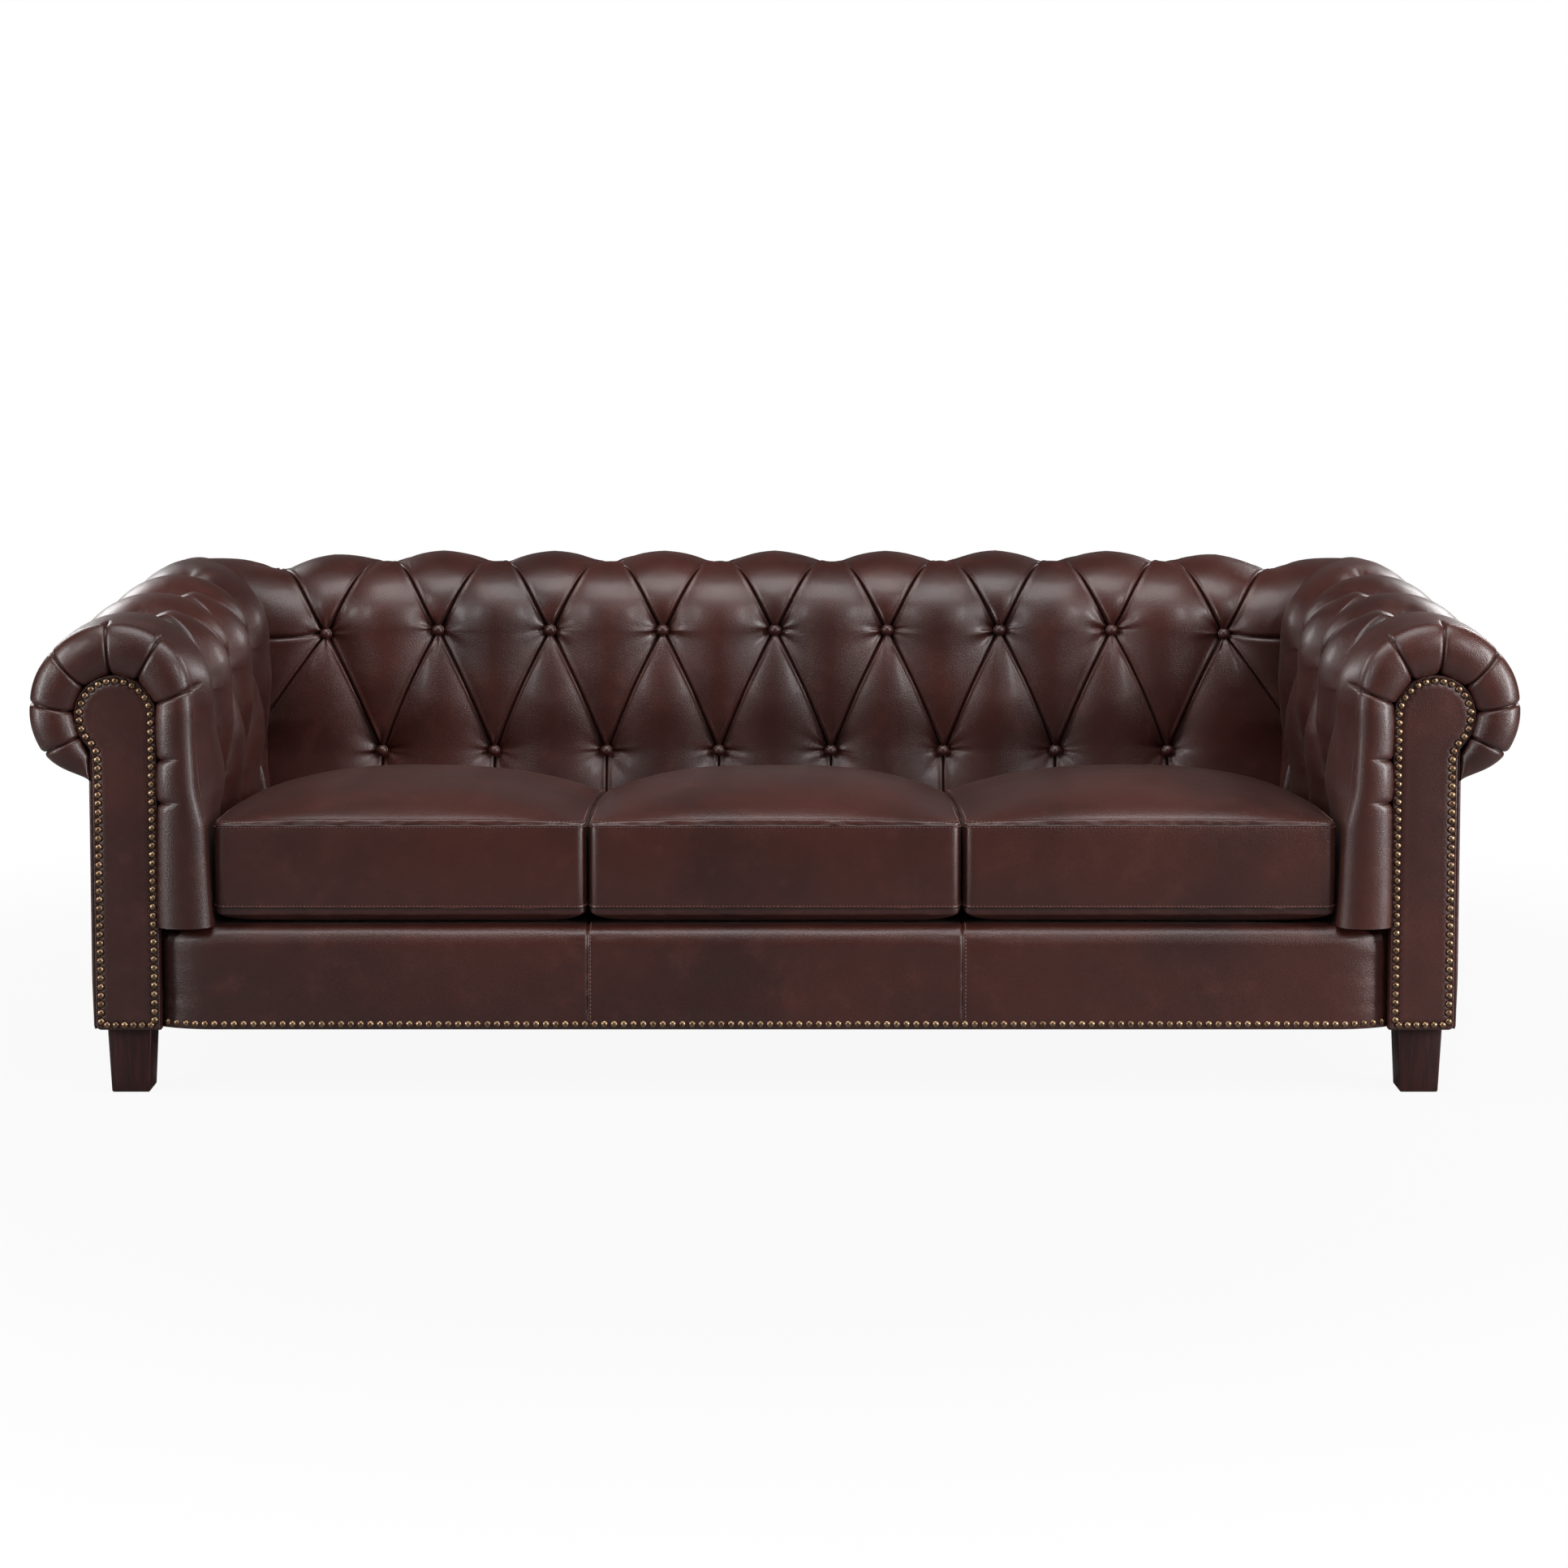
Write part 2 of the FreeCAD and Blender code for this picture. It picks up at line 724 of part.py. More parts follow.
def bolt_hole(x, y):
    return Part.makeCylinder(bolt_diameter / 2 + fit_gap, bolt_length + fit_gap,
                             V(x, y, foot_height - bolt_in_foot - fit_gap))


def foot_bolt(x, y):
    return Part.makeCylinder(bolt_diameter / 2, bolt_length, V(x, y, foot_height - bolt_in_foot))


def foot_plate(x, y):
    half = plate_size / 2
    plate = box(x - half, x + half, y - half, y + half, foot_height - plate_thickness, foot_height)
    return plate.cut(bolt_hole(x, y))


# Padded front rail: a solid with a rounded top that reaches back over the rail as a lip
def rail_pad(x0, x1, inset, bottom_front, bottom_lip):
    front = front_y + rail_front_inset + inset
    top = rail_top - inset
    radius = rail_round - inset
    half = math.sqrt(0.5)
    lip = front_rail_inner + rail_lip
    edges = [
        Part.makeLine(V(x0, front, foot_height), V(x0, front, top - radius)),
        Part.Arc(
            V(x0, front, top - radius),
            V(x0, front + radius * (1 - half), top - radius * (1 - half)),
            V(x0, front + radius, top),
        ).toShape(),
        Part.makeLine(V(x0, front + radius, top), V(x0, lip, top)),
        Part.makeLine(V(x0, lip, top), V(x0, lip, bottom_lip)),
        Part.makeLine(V(x0, lip, bottom_lip), V(x0, bottom_front, bottom_lip)),
        Part.makeLine(V(x0, bottom_front, bottom_lip), V(x0, bottom_front, foot_height)),
        Part.makeLine(V(x0, bottom_front, foot_height), V(x0, front, foot_height)),
    ]
    return Part.Face(Part.Wire(edges)).extrude(V(x1 - x0, 0, 0))


def rail_cover(x0, x1):
    inside = rail_pad(x0 - rail_hide, x1 + rail_hide, rail_hide, front_rail_inner, rail_top_z)
    whole = rail_pad(x0, x1, 0, board_back, rail_top_z)
    return whole.cut(inside)


def back_corner_room():
    """Space that the back's foam leaves for the posts, the tuck rails and the arms' top rails."""
    rooms = []
    for side in (1, -1):
        posts = sorted((side * (post_inner - fit_gap), side * overall_width))
        rooms.append(box(posts[0], posts[1], -overall_depth, back_rail_outer + back_panel_thickness,
                         foot_height, arm_rail_bottom + fit_gap))
        rails = sorted((side * (arm_rail_inner - fit_gap), side * (arm_rail_outer + fit_gap)))
        rooms.append(box(rails[0], rails[1], -overall_depth, back_rail_outer + fit_gap,
                         arm_rail_bottom - fit_gap, arm_rail_top + fit_gap))
    return rooms


os.makedirs("parts", exist_ok=True)

# Frame rails
save("front_rail", box(-side_rail_inner, side_rail_inner, board_back, front_rail_inner,
                       foot_height, rail_top_z)
     .cut([bolt_hole(side * foot_x, front_foot_y) for side in (1, -1)]))
save("back_rail", box(-post_inner, post_inner, back_rail_inner, back_rail_outer, foot_height, rail_top_z))
save_pair("side_rail", box(-side_rail_outer, -side_rail_inner, board_back, back_rail_outer,
                           foot_height, rail_top_z))
cross = [
    box(side * seat_pitch / 2 - rail_thickness / 2, side * seat_pitch / 2 + rail_thickness / 2,
        front_rail_inner, back_rail_inner, foot_height, foot_height + cross_rail_height)
    for side in (1, -1)
]
save("cross_rails", Part.makeCompound(cross))
blocks = []
for side in (1, -1):
    corner_x = side * side_rail_inner
    blocks.append(prism([
        V(corner_x, front_rail_inner, foot_height),
        V(corner_x - side * block_leg, front_rail_inner, foot_height),
        V(corner_x, front_rail_inner + block_leg, foot_height),
    ], V(0, 0, block_height)))
    corner_x = side * post_inner
    blocks.append(prism([
        V(corner_x, back_rail_inner, foot_height),
        V(corner_x - side * block_leg, back_rail_inner, foot_height),
        V(corner_x, back_rail_inner - rail_thickness, foot_height),
    ], V(0, 0, block_height)))
save("corner_blocks", Part.makeCompound(blocks))

# Arm and back timbers
arm_rail_outer = side_rail_outer
arm_rail_inner = arm_rail_outer - top_rail_depth
arm_rail_top = arm_rail_bottom + top_rail_height
save_pair("back_post", box(-side_rail_inner, -post_inner, back_rail_outer - post_depth, back_rail_outer,
                           foot_height, arm_rail_bottom)
          .cut(bolt_hole(-foot_x, back_foot_y)))
save_pair("arm_top_rail", box(-arm_rail_outer, -arm_rail_inner, board_back, back_rail_outer,
                              arm_rail_bottom, arm_rail_top))
save_pair("arm_scroll_board", keyhole_prism(0, board_front, board_back))
tuck_z = tuft_bottom
tucks = []
for side in (1, -1):
    ends = sorted((side * post_inner, side * (post_inner + rail_thickness)))
    tucks.append(box(ends[0], ends[1], board_back, back_rail_outer - post_depth,
                     tuck_z, tuck_z + tuck_rail_height))
save("arm_tuck_rails", Part.makeCompound(tucks))
arm_uprights = []
for side in (1, -1):
    ends = sorted((side * side_rail_inner, side * side_rail_outer))
    arm_uprights.append(box(ends[0], ends[1], -upright_width / 2, upright_width / 2,
                            rail_top_z, arm_rail_bottom))
save("arm_uprights", Part.makeCompound(arm_uprights))
back_rail_z = back_centre_z - top_rail_height
back_uprights = [
    box(side * seat_pitch / 2 - upright_width / 2, side * seat_pitch / 2 + upright_width / 2,
        back_rail_inner, back_rail_outer, rail_top_z, back_rail_z)
    for side in (1, -1)
]
save("back_uprights", Part.makeCompound(back_uprights))
save("back_top_rail", box(-arm_rail_inner, arm_rail_inner, back_rail_outer - back_top_rail_depth,
                          back_rail_outer, back_rail_z, back_rail_z + top_rail_height))
save("back_tuck_rail", box(-post_inner, post_inner, back_rail_inner - rail_thickness, back_rail_inner,
                           tuck_z, tuck_z + tuck_rail_height))

# Feet
feet = {
    "front_left_foot": (-foot_x, front_foot_y),
    "front_right_foot": (foot_x, front_foot_y),
    "back_left_foot": (-foot_x, back_foot_y),
    "back_right_foot": (foot_x, back_foot_y),
}
for name, (x, y) in feet.items():
    save(name, foot(x, y))
save("foot_bolts", Part.makeCompound([foot_bolt(x, y) for x, y in feet.values()]))
save("foot_plates", Part.makeCompound([foot_plate(x, y) for x, y in feet.values()]))

# Seat deck
save("seat_springs", Part.makeCompound([seat_spring(x) for x in spring_columns()]))
clips = []
for x in spring_columns():
    clips.append(spring_clip(x, board_back + rail_thickness / 2))
    clips.append(spring_clip(x, back_rail_inner + rail_thickness / 2))
save("spring_clips", Part.makeCompound(clips))
deck_half = seat_width / 2 - cushion_side_gap
deck_front = front_rail_inner + rail_lip + fit_gap
deck_back = back_centre_y - core_radius - back_lean - puff_height - puff_edge
save("deck_pad", box(-deck_half, deck_half, deck_front, deck_back, deck_z, deck_z + deck_pad_thickness))
save("deck_cover", box(-deck_half, deck_half, deck_front, deck_back, deck_z + deck_pad_thickness,
                       deck_z + deck_pad_thickness + deck_cover_thickness))
under = box(-side_rail_outer + dust_cover_inset, side_rail_outer - dust_cover_inset,
            board_back + dust_cover_inset / 2, back_rail_outer - dust_cover_inset / 2,
            foot_height - dust_cover_thickness, foot_height)
room = foot_top / 2 + fit_gap
notches = [box(x - room, x + room, y - room, y + room, 0, foot_height) for x, y in feet.values()]
save("bottom_dust_cover", under.cut(notches))

# Upholstered arms
hide, foam, buttons = arm_pad()
hide = place_arm(hide)
foam = place_arm(foam)
corner_left = mitre_cutter(-1)
arm_rail_room = box(-arm_rail_outer - fit_gap, -arm_rail_inner + fit_gap, board_front - rail_thickness,
                    back_y, arm_rail_bottom - fit_gap, arm_rail_top + fit_gap)
hide = hide.common(corner_left).fuse(front_puffs()).removeSplitter()
save_pair("arm_cover", hide)
board_room = keyhole_prism(fit_gap, front_y, board_back + fit_gap)
save_pair("arm_foam", foam.common(corner_left).cut([arm_rail_room, board_room]))
save_pair("arm_buttons", place_arm(buttons))
save_pair("arm_facing", keyhole_prism(0, board_front - facing_thickness, board_front))
save_pair("arm_nails", arm_nails())
save_pair("outside_arm_panel", box(
    -arm_centre_x - arm_outside_offset, -side_rail_outer, board_back, back_rail_outer + back_panel_thickness,
    foot_height, arm_rail_bottom))

# Upholstered back
hide, foam, buttons = back_pad()
corners = [mitre_cutter(1), mitre_cutter(-1)]
for shape_name, shape in (("back_cover", hide), ("back_foam", foam)):
    shape.translate(V(0, back_centre_y, 0))
    trimmed = shape.cut(corners)
    if shape_name == "back_foam":
        rail_room = box(-overall_width, overall_width, back_rail_outer - back_top_rail_depth - fit_gap,
                        back_rail_outer + fit_gap, arm_rail_bottom - fit_gap,
                        back_rail_z + top_rail_height + fit_gap)
        trimmed = trimmed.cut([rail_room] + back_corner_room())
    save(shape_name, trimmed)
buttons.translate(V(0, back_centre_y, 0))
save("back_buttons", buttons)
save("outside_back_panel", box(-side_rail_outer, side_rail_outer, back_rail_outer,
                               back_rail_outer + back_panel_thickness, foot_height, arm_rail_bottom))

# Front rail padding, its three leather panels and their nails
rail_end = arm_centre_x - bulb_radius - rail_end_gap
save("front_rail_padding", rail_pad(-rail_end, rail_end, rail_hide + fit_gap, board_back,
                                    deck_z + spring_wire))
seams = (-rail_end, -rail_seam_place, rail_seam_place, rail_end)
for n, name in enumerate(("left", "middle", "right")):
    save("rail_cover_" + name, rail_cover(seams[n] + rail_seam_gap / 2, seams[n + 1] - rail_seam_gap / 2))
nail_count = round(2 * (rail_end - nail_inset) / rail_nail_pitch)
rail_nails = []
for n in range(nail_count + 1):
    x = -rail_end + nail_inset + 2 * (rail_end - nail_inset) * n / nail_count
    seat = V(x, front_y + rail_front_inset, rail_nail_height)
    rail_nails.append(dome(nail_diameter, nail_dome, seat, V(0, -1, 0)))
save("rail_nails", Part.makeCompound(rail_nails))

# Cushions
for n, name in enumerate(("left", "middle", "right")):
    cushion(name, (n - (cushion_count - 1) / 2) * seat_pitch)
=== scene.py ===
import math

import bmesh
import bpy
from mathutils import Matrix, Vector, noise


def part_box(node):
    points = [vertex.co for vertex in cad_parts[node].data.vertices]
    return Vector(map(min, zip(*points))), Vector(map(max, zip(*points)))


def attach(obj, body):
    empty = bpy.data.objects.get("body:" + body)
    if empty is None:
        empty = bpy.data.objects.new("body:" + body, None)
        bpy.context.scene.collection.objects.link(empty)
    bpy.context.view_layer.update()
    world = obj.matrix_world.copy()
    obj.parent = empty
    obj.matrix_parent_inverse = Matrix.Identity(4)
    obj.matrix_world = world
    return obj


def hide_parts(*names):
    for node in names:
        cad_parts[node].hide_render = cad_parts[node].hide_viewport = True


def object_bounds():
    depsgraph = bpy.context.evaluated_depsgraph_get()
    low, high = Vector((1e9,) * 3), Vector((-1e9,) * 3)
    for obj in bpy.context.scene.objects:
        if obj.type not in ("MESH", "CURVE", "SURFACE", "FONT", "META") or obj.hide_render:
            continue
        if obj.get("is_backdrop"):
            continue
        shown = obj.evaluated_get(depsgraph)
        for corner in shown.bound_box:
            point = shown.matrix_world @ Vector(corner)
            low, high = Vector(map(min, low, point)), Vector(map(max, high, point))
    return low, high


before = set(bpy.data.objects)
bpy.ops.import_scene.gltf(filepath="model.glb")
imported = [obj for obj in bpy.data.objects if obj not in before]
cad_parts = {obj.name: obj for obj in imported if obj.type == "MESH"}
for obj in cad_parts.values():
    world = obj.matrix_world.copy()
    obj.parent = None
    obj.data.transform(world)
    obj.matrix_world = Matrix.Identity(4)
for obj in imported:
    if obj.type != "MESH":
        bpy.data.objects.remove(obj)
cad_low, cad_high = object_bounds()

# Camera, floor and lamps. The camera stands five metres in front of the arms at chest height and
# looks slightly down. The lamps are a studio's soft boxes over a plain pale floor.
camera_distance = 5.08
camera_height = 1.222
camera_tilt = 4.35
lens_length = 77.0
lens_shift = (0.0058, -0.145)
floor_size = 40.0
sky_fill = 0.06

camera = bpy.data.objects.new("camera", bpy.data.cameras.new("camera"))
camera.location = (0, cad_low.y - camera_distance, camera_height)
camera.rotation_euler = (math.radians(90 - camera_tilt), 0, 0)
camera.data.lens = lens_length
camera.data.sensor_width = 36
camera.data.shift_x, camera.data.shift_y = lens_shift
camera.data.clip_end = 100
bpy.context.scene.collection.objects.link(camera)
bpy.context.scene.camera = camera
bpy.context.scene.view_settings.view_transform = "Standard"


def soft_box(name, place, aim, width, height, power):
    """A rectangular studio lamp at place, turned towards aim."""
    lamp = bpy.data.lights.new(name, "AREA")
    lamp.shape = "RECTANGLE"
    lamp.size = width
    lamp.size_y = height
    lamp.energy = power
    holder = bpy.data.objects.new(name, lamp)
    holder.location = place
    holder.rotation_euler = (Vector(aim) - Vector(place)).to_track_quat("-Z", "Y").to_euler()
    bpy.context.scene.collection.objects.link(holder)


soft_box("key_lamp", (2.6, -3.4, 2.3), (0, 0, 0.45), 0.6, 1.4, 46)
soft_box("fill_lamp", (-2.8, -3.3, 2.3), (0, 0, 0.45), 0.6, 1.4, 32)
soft_box("top_lamp", (0, -0.9, 3.1), (0, 0.2, 0.5), 3.4, 1.5, 96)
soft_box("left_side_lamp", (-3.4, -1.6, 1.15), (0, 0, 0.5), 0.5, 1.9, 64)
soft_box("right_side_lamp", (3.4, -1.6, 1.15), (0, 0, 0.5), 0.5, 1.9, 112)
soft_box("rear_left_lamp", (-3.2, 3.4, 2.5), (0, 0, 0.4), 1.4, 1.6, 62)
soft_box("rear_right_lamp", (3.2, 3.4, 2.5), (0, 0, 0.4), 1.4, 1.6, 62)

world = bpy.data.worlds.new("studio")
bpy.context.scene.world = world
world.use_nodes = True
sky = world.node_tree.nodes["Background"]
sky.inputs["Color"].default_value = (1, 1, 1, 1)
rays = world.node_tree.nodes.new("ShaderNodeLightPath")
seen = world.node_tree.nodes.new("ShaderNodeMix")
seen.inputs["A"].default_value = sky_fill
seen.inputs["B"].default_value = 1
world.node_tree.links.new(rays.outputs["Is Camera Ray"], seen.inputs["Factor"])
world.node_tree.links.new(seen.outputs["Result"], sky.inputs["Strength"])


class Field:
    """A value that varies over a surface. Sums with it add Math nodes to its finish."""

    def __init__(self, finish, socket):
        self.finish = finish
        self.socket = socket

    def sum(self, operation, *values):
        return self.finish.node("Math", {"operation": operation}, dict(enumerate(values)))

    def __add__(self, other):
        return self.sum("ADD", self, other)

    def __radd__(self, other):
        return self.sum("ADD", other, self)

    def __sub__(self, other):
        return self.sum("SUBTRACT", self, other)

    def __rsub__(self, other):
        return self.sum("SUBTRACT", other, self)

    def __mul__(self, other):
        return self.sum("MULTIPLY", self, other)

    def __rmul__(self, other):
        return self.sum("MULTIPLY", other, self)

    def between(self, low, high):
        """0 below low, 1 above high and smooth between."""
        limits = {"Value": self, "From Min": low, "From Max": high}
        return self.finish.node("MapRange", {"interpolation_type": "SMOOTHSTEP"}, limits)


class Finish:
    """A material around one surface shader, whose constants are set on its own sockets."""

    def __init__(self, name, constants):
        self.material = bpy.data.materials.new(name)
        self.material.use_nodes = True
        self.nodes = self.material.node_tree.nodes
        self.surface = self.nodes["Principled BSDF"]
        for socket, value in constants.items():
            self.surface.inputs[socket].default_value = value
        self.place = self.node("TexCoord", {}, {}, "Object")

    def node(self, kind, settings, values, output=0):
        """Any node, by its type, its settings and the values or links of its sockets."""
        made = self.nodes.new("ShaderNode" + kind)
        for name, value in settings.items():
            setattr(made, name, value)
        for socket, value in values.items():
            self.feed(made.inputs[socket], value)
        return Field(self, made.outputs[output])

    def feed(self, socket, value):
        """Link a varying value to a socket, or set a plain one."""
        if isinstance(value, Field):
            self.material.node_tree.links.new(value.socket, socket)
        else:
            socket.default_value = value

    def noise(self, scale, detail, place=None, roughness=0.5):
        return self.node("TexNoise", {}, {"Vector": place or self.place, "Scale": scale,
                                          "Detail": detail, "Roughness": roughness})

    def stretched(self, scale):
        return self.node("Mapping", {}, {"Vector": self.place, "Scale": scale})

    def mix(self, share, first, second):
        return self.node("Mix", {"data_type": "RGBA"}, {0: share, 6: first, 7: second}, 2)

    def bump(self, height, strength, depth):
        return self.node("Bump", {}, {"Height": height, "Strength": strength, "Distance": depth})

    def wear(self, values):
        """Feed the surface's sockets and return the finish."""
        for socket, value in values.items():
            self.feed(self.surface.inputs[socket], value)
        return self


def paint(red, green, blue):
    """A colour given by its display values, 0 to 255, as the shader's own light values."""
    def light(value):
        share = value / 255
        return share / 12.92 if share <= 0.04045 else ((share + 0.055) / 1.055) ** 2.4
    return light(red), light(green), light(blue), 1


# The floor is white to the camera, a little less under the sofa so that its shadow shows there. To
# the lamps it is a mid grey, which keeps it from lighting the leather from below.
floor_paint = Finish("floor_paint", {"Specular IOR Level": 0.2})
scuffs = floor_paint.noise(0.9, 3)
floor_paint.wear({
    "Base Color": floor_paint.mix(scuffs, (0.24, 0.24, 0.24, 1), (0.27, 0.27, 0.27, 1)),
    "Roughness": 0.6 + scuffs * 0.1,
})
away = floor_paint.node("VectorMath", {"operation": "LENGTH"}, {0: floor_paint.place}, "Value")
camera_ray = floor_paint.node("LightPath", {}, {}, "Is Camera Ray")
white = floor_paint.node("Emission", {}, {"Color": (1, 1, 1, 1), "Strength": 1}, "Emission")
plain = Field(floor_paint, floor_paint.surface.outputs["BSDF"])
share = camera_ray * (0.93 + away.between(1.4, 2.6) * 0.07)
shown = floor_paint.node("MixShader", {}, {0: share, 1: plain, 2: white}, "Shader")
floor_paint.feed(floor_paint.nodes["Material Output"].inputs["Surface"], shown)
ground = bmesh.new()
bmesh.ops.create_grid(ground, x_segments=1, y_segments=1, size=floor_size / 2)
floor_mesh = bpy.data.meshes.new("floor")
ground.to_mesh(floor_mesh)
ground.free()
floor_mesh.materials.append(floor_paint.material)
floor = bpy.data.objects.new("floor", floor_mesh)
bpy.context.scene.collection.objects.link(floor)
floor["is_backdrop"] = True


# Timber frame: planed hardwood rails, posts, uprights and blocks under the leather, glued and
# screwed together. It keeps the shapes of the frame and gets straight-grained pale wood.
def wood_finish(name, dark, pale, grain, roughness, coat):
    """Wood whose grain runs along the longest direction that grain stretches."""
    wood = Finish(name, {"Specular IOR Level": 0.35, "Coat Weight": coat, "Coat Roughness": 0.25})
    lines = wood.noise(14, 6, wood.stretched(grain), 0.65)
    pores = wood.noise(90, 3, wood.stretched(grain), 0.7)
    blotch = wood.noise(7, 2)
    colour = wood.mix(lines.between(0.35, 0.68), dark, pale)
    colour = wood.mix(blotch.between(0.4, 0.7) * 0.35, colour, dark)
    height = lines * 0.6 + pores * 0.4
    return wood.wear({
        "Base Color": wood.mix(pores.between(0.52, 0.7) * 0.4, colour, dark),
        "Roughness": roughness + pores * 0.12,
        "Normal": wood.bump(height, 0.25, 0.0006),
    })


def dress(nodes, finish):
    """Give parts of the frame a finish in place of their plain one."""
    for node in nodes:
        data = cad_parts[node].data
        data.materials.clear()
        data.materials.append(finish.material)


sides = ("left", "right")
along_x, along_y, upright = (1, 14, 14), (14, 1, 14), (14, 14, 1)
raw_dark, raw_pale, raw_roughness = paint(150, 112, 74), paint(196, 160, 118), 0.55
dress(["front_rail", "back_rail", "back_top_rail", "back_tuck_rail", "corner_blocks"],
      wood_finish("rail_wood", raw_dark, raw_pale, along_x, raw_roughness, 0))
dress(["cross_rails", "arm_tuck_rails"]
      + [side + end for side in sides for end in ("_side_rail", "_arm_top_rail")],
      wood_finish("side_rail_wood", raw_dark, raw_pale, along_y, raw_roughness, 0))
dress(["arm_uprights", "back_uprights"]
      + [side + end for side in sides for end in ("_back_post", "_arm_scroll_board")],
      wood_finish("post_wood", raw_dark, raw_pale, upright, raw_roughness, 0))

# Seat springs, their clips, the foot plates and the hanger bolts: bent and stamped steel wire and
# sheet, oiled grey with a few brown specks.
steel = Finish("spring_steel", {"Metallic": 1})
specks = steel.noise(160, 4)
film = steel.noise(22, 3)
steel_colour = steel.mix(specks.between(0.58, 0.74), paint(150, 148, 146), paint(92, 72, 58))
steel.wear({
    "Base Color": steel.mix(film.between(0.4, 0.7) * 0.4, steel_colour, paint(110, 112, 116)),
    "Roughness": 0.3 + specks * 0.25,
    "Normal": steel.bump(specks, 0.15, 0.0003),
})
dress(["seat_springs", "spring_clips", "foot_plates", "foot_bolts"], steel)


# Seat deck: a felt pad under a woven platform cloth, laid over the springs between the arms. The
# cloth is stitched down in rows and swells a little between them.
def cloth_finish(name, thread, shade, pitch, depth):
    """Plain weave: two sets of threads, pitch metres apart, crossing over and under."""
    cloth = Finish(name, {"Sheen Weight": 0.2})
    waves = []
    for direction in ("X", "Y"):
        values = {"Vector": cloth.place, "Scale": 1 / pitch, "Distortion": 0.6}
        waves.append(cloth.node("TexWave", {"bands_direction": direction}, values, "Fac"))
    weave = waves[0] * waves[1]
    fuzz = cloth.noise(260, 3)
    return cloth.wear({
        "Base Color": cloth.mix(weave * 0.7 + fuzz * 0.3, shade, thread),
        "Roughness": 0.85 + fuzz * 0.1,
        "Normal": cloth.bump(weave + fuzz * 0.5, 0.4, depth),
    })


def piece(name, shape, finish, body="sofa_frame"):
    """An object of the given mesh work in its place, riding on a body."""
    data = bpy.data.meshes.new(name)
    shape.to_mesh(data)
    shape.free()
    data.materials.append(finish.material)
    data.polygons.foreach_set("use_smooth", [True] * len(data.polygons))
    made = bpy.data.objects.new(name, data)
    bpy.context.scene.collection.objects.link(made)
    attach(made, body)
    return made


def smooth(share):
    """An eased step: 0 up to a share of 0, 1 from a share of 1."""
    share = min(1, max(0, share))
    return share * share * (3 - 2 * share)


def bell(off, width):
    """1 in the middle of a groove or a lip, falling away over its width."""
    return math.exp(-(off / width) ** 2)


seam_groove, seam_shade = 0.0011, 0.9


def block_of_cells(counts, place):
    """A closed block of cells; place gives each corner's point and how near it is to a seam."""
    block = bmesh.new()
    bmesh.ops.create_cube(block, size=1)
    for axis, count in enumerate(counts):
        edges = [e for e in block.edges
                 if abs(e.verts[0].co[axis] - e.verts[1].co[axis]) > 0.5 * e.calc_length()]
        bmesh.ops.subdivide_edges(block, edges=edges, cuts=count - 1, use_grid_fill=True)
    fold_and_painted_shade = block.verts.layers.float.new("fold_and_painted_shade")
    nearness = block.verts.layers.float.new("near_seam")
    for vert in block.verts:
        index = [round((vert.co[axis] + 0.5) * count) for axis, count in enumerate(counts)]
        vert.co, near = place(*index)
        # Painted shade: the groove of each seam is darkened in the leather's colour.
        vert[fold_and_painted_shade] = seam_shade * bell(near, seam_groove)
        vert[nearness] = near
    return block


deck_low, deck_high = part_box("deck_pad")[0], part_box("deck_cover")[1]
deck_size = deck_high - deck_low
deck_counts = (150, 48, 3)
deck_row_gap = 0.1734
deck_row_depth, deck_row_width = 0.004, 0.006
deck_edge_drop, deck_edge_run = 0.005, 0.02
deck_swell = 0.0012


def deck_place(column, row, layer):
    """A place on the deck: down in its stitched rows and at its edges, and slightly uneven."""
    x = deck_size.x * column / deck_counts[0]
    y = deck_size.y * row / deck_counts[1]
    edge = min(x, deck_size.x - x, y, deck_size.y - y)
    near = abs((x + deck_row_gap / 2) % deck_row_gap - deck_row_gap / 2)
    sunk = deck_row_depth * bell(near, deck_row_width)
    sunk += deck_edge_drop * (1 - smooth(edge / deck_edge_run))
    sunk += deck_swell * (1 + noise.noise(Vector((x * 9, y * 9, 1.3))))
    return deck_low + Vector((x, y, (deck_size.z - sunk) * layer / deck_counts[2])), near


deck_cloth = cloth_finish("deck_cloth", paint(74, 52, 46), paint(44, 30, 27), 0.004, 0.0006)
deck = piece("seat_deck", block_of_cells(deck_counts, deck_place), deck_cloth)
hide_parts("deck_cover", "deck_pad")

# Feet: four square blocks of hardwood, tapered towards the floor, their edges eased, stained dark
# mahogany and lacquered. Each hangs on a bolt under a steel plate.
foot_edge = 0.003
foot_taper = 59 / 68  # its width at the floor over its width at the top
stain = wood_finish("stained_wood", paint(30, 8, 7), paint(54, 17, 15), upright, 0.34, 0.06)
for node in ("front_left_foot", "front_right_foot", "back_left_foot", "back_right_foot"):
    low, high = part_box(node)
    middle, size = (low + high) / 2, high - low
    block = bmesh.new()
    bmesh.ops.create_cube(block, size=1)
    bmesh.ops.scale(block, verts=block.verts, vec=size)
    toe = [vert for vert in block.verts if vert.co.z < 0]
    bmesh.ops.scale(block, verts=toe, vec=(foot_taper, foot_taper, 1))
    bmesh.ops.translate(block, verts=block.verts, vec=middle)
    bmesh.ops.bevel(block, geom=block.edges[:], offset=foot_edge, segments=3, profile=0.5,
                    affect="EDGES", material=-1)
    foot = piece(node + "_block", block, stain)
    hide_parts(node)


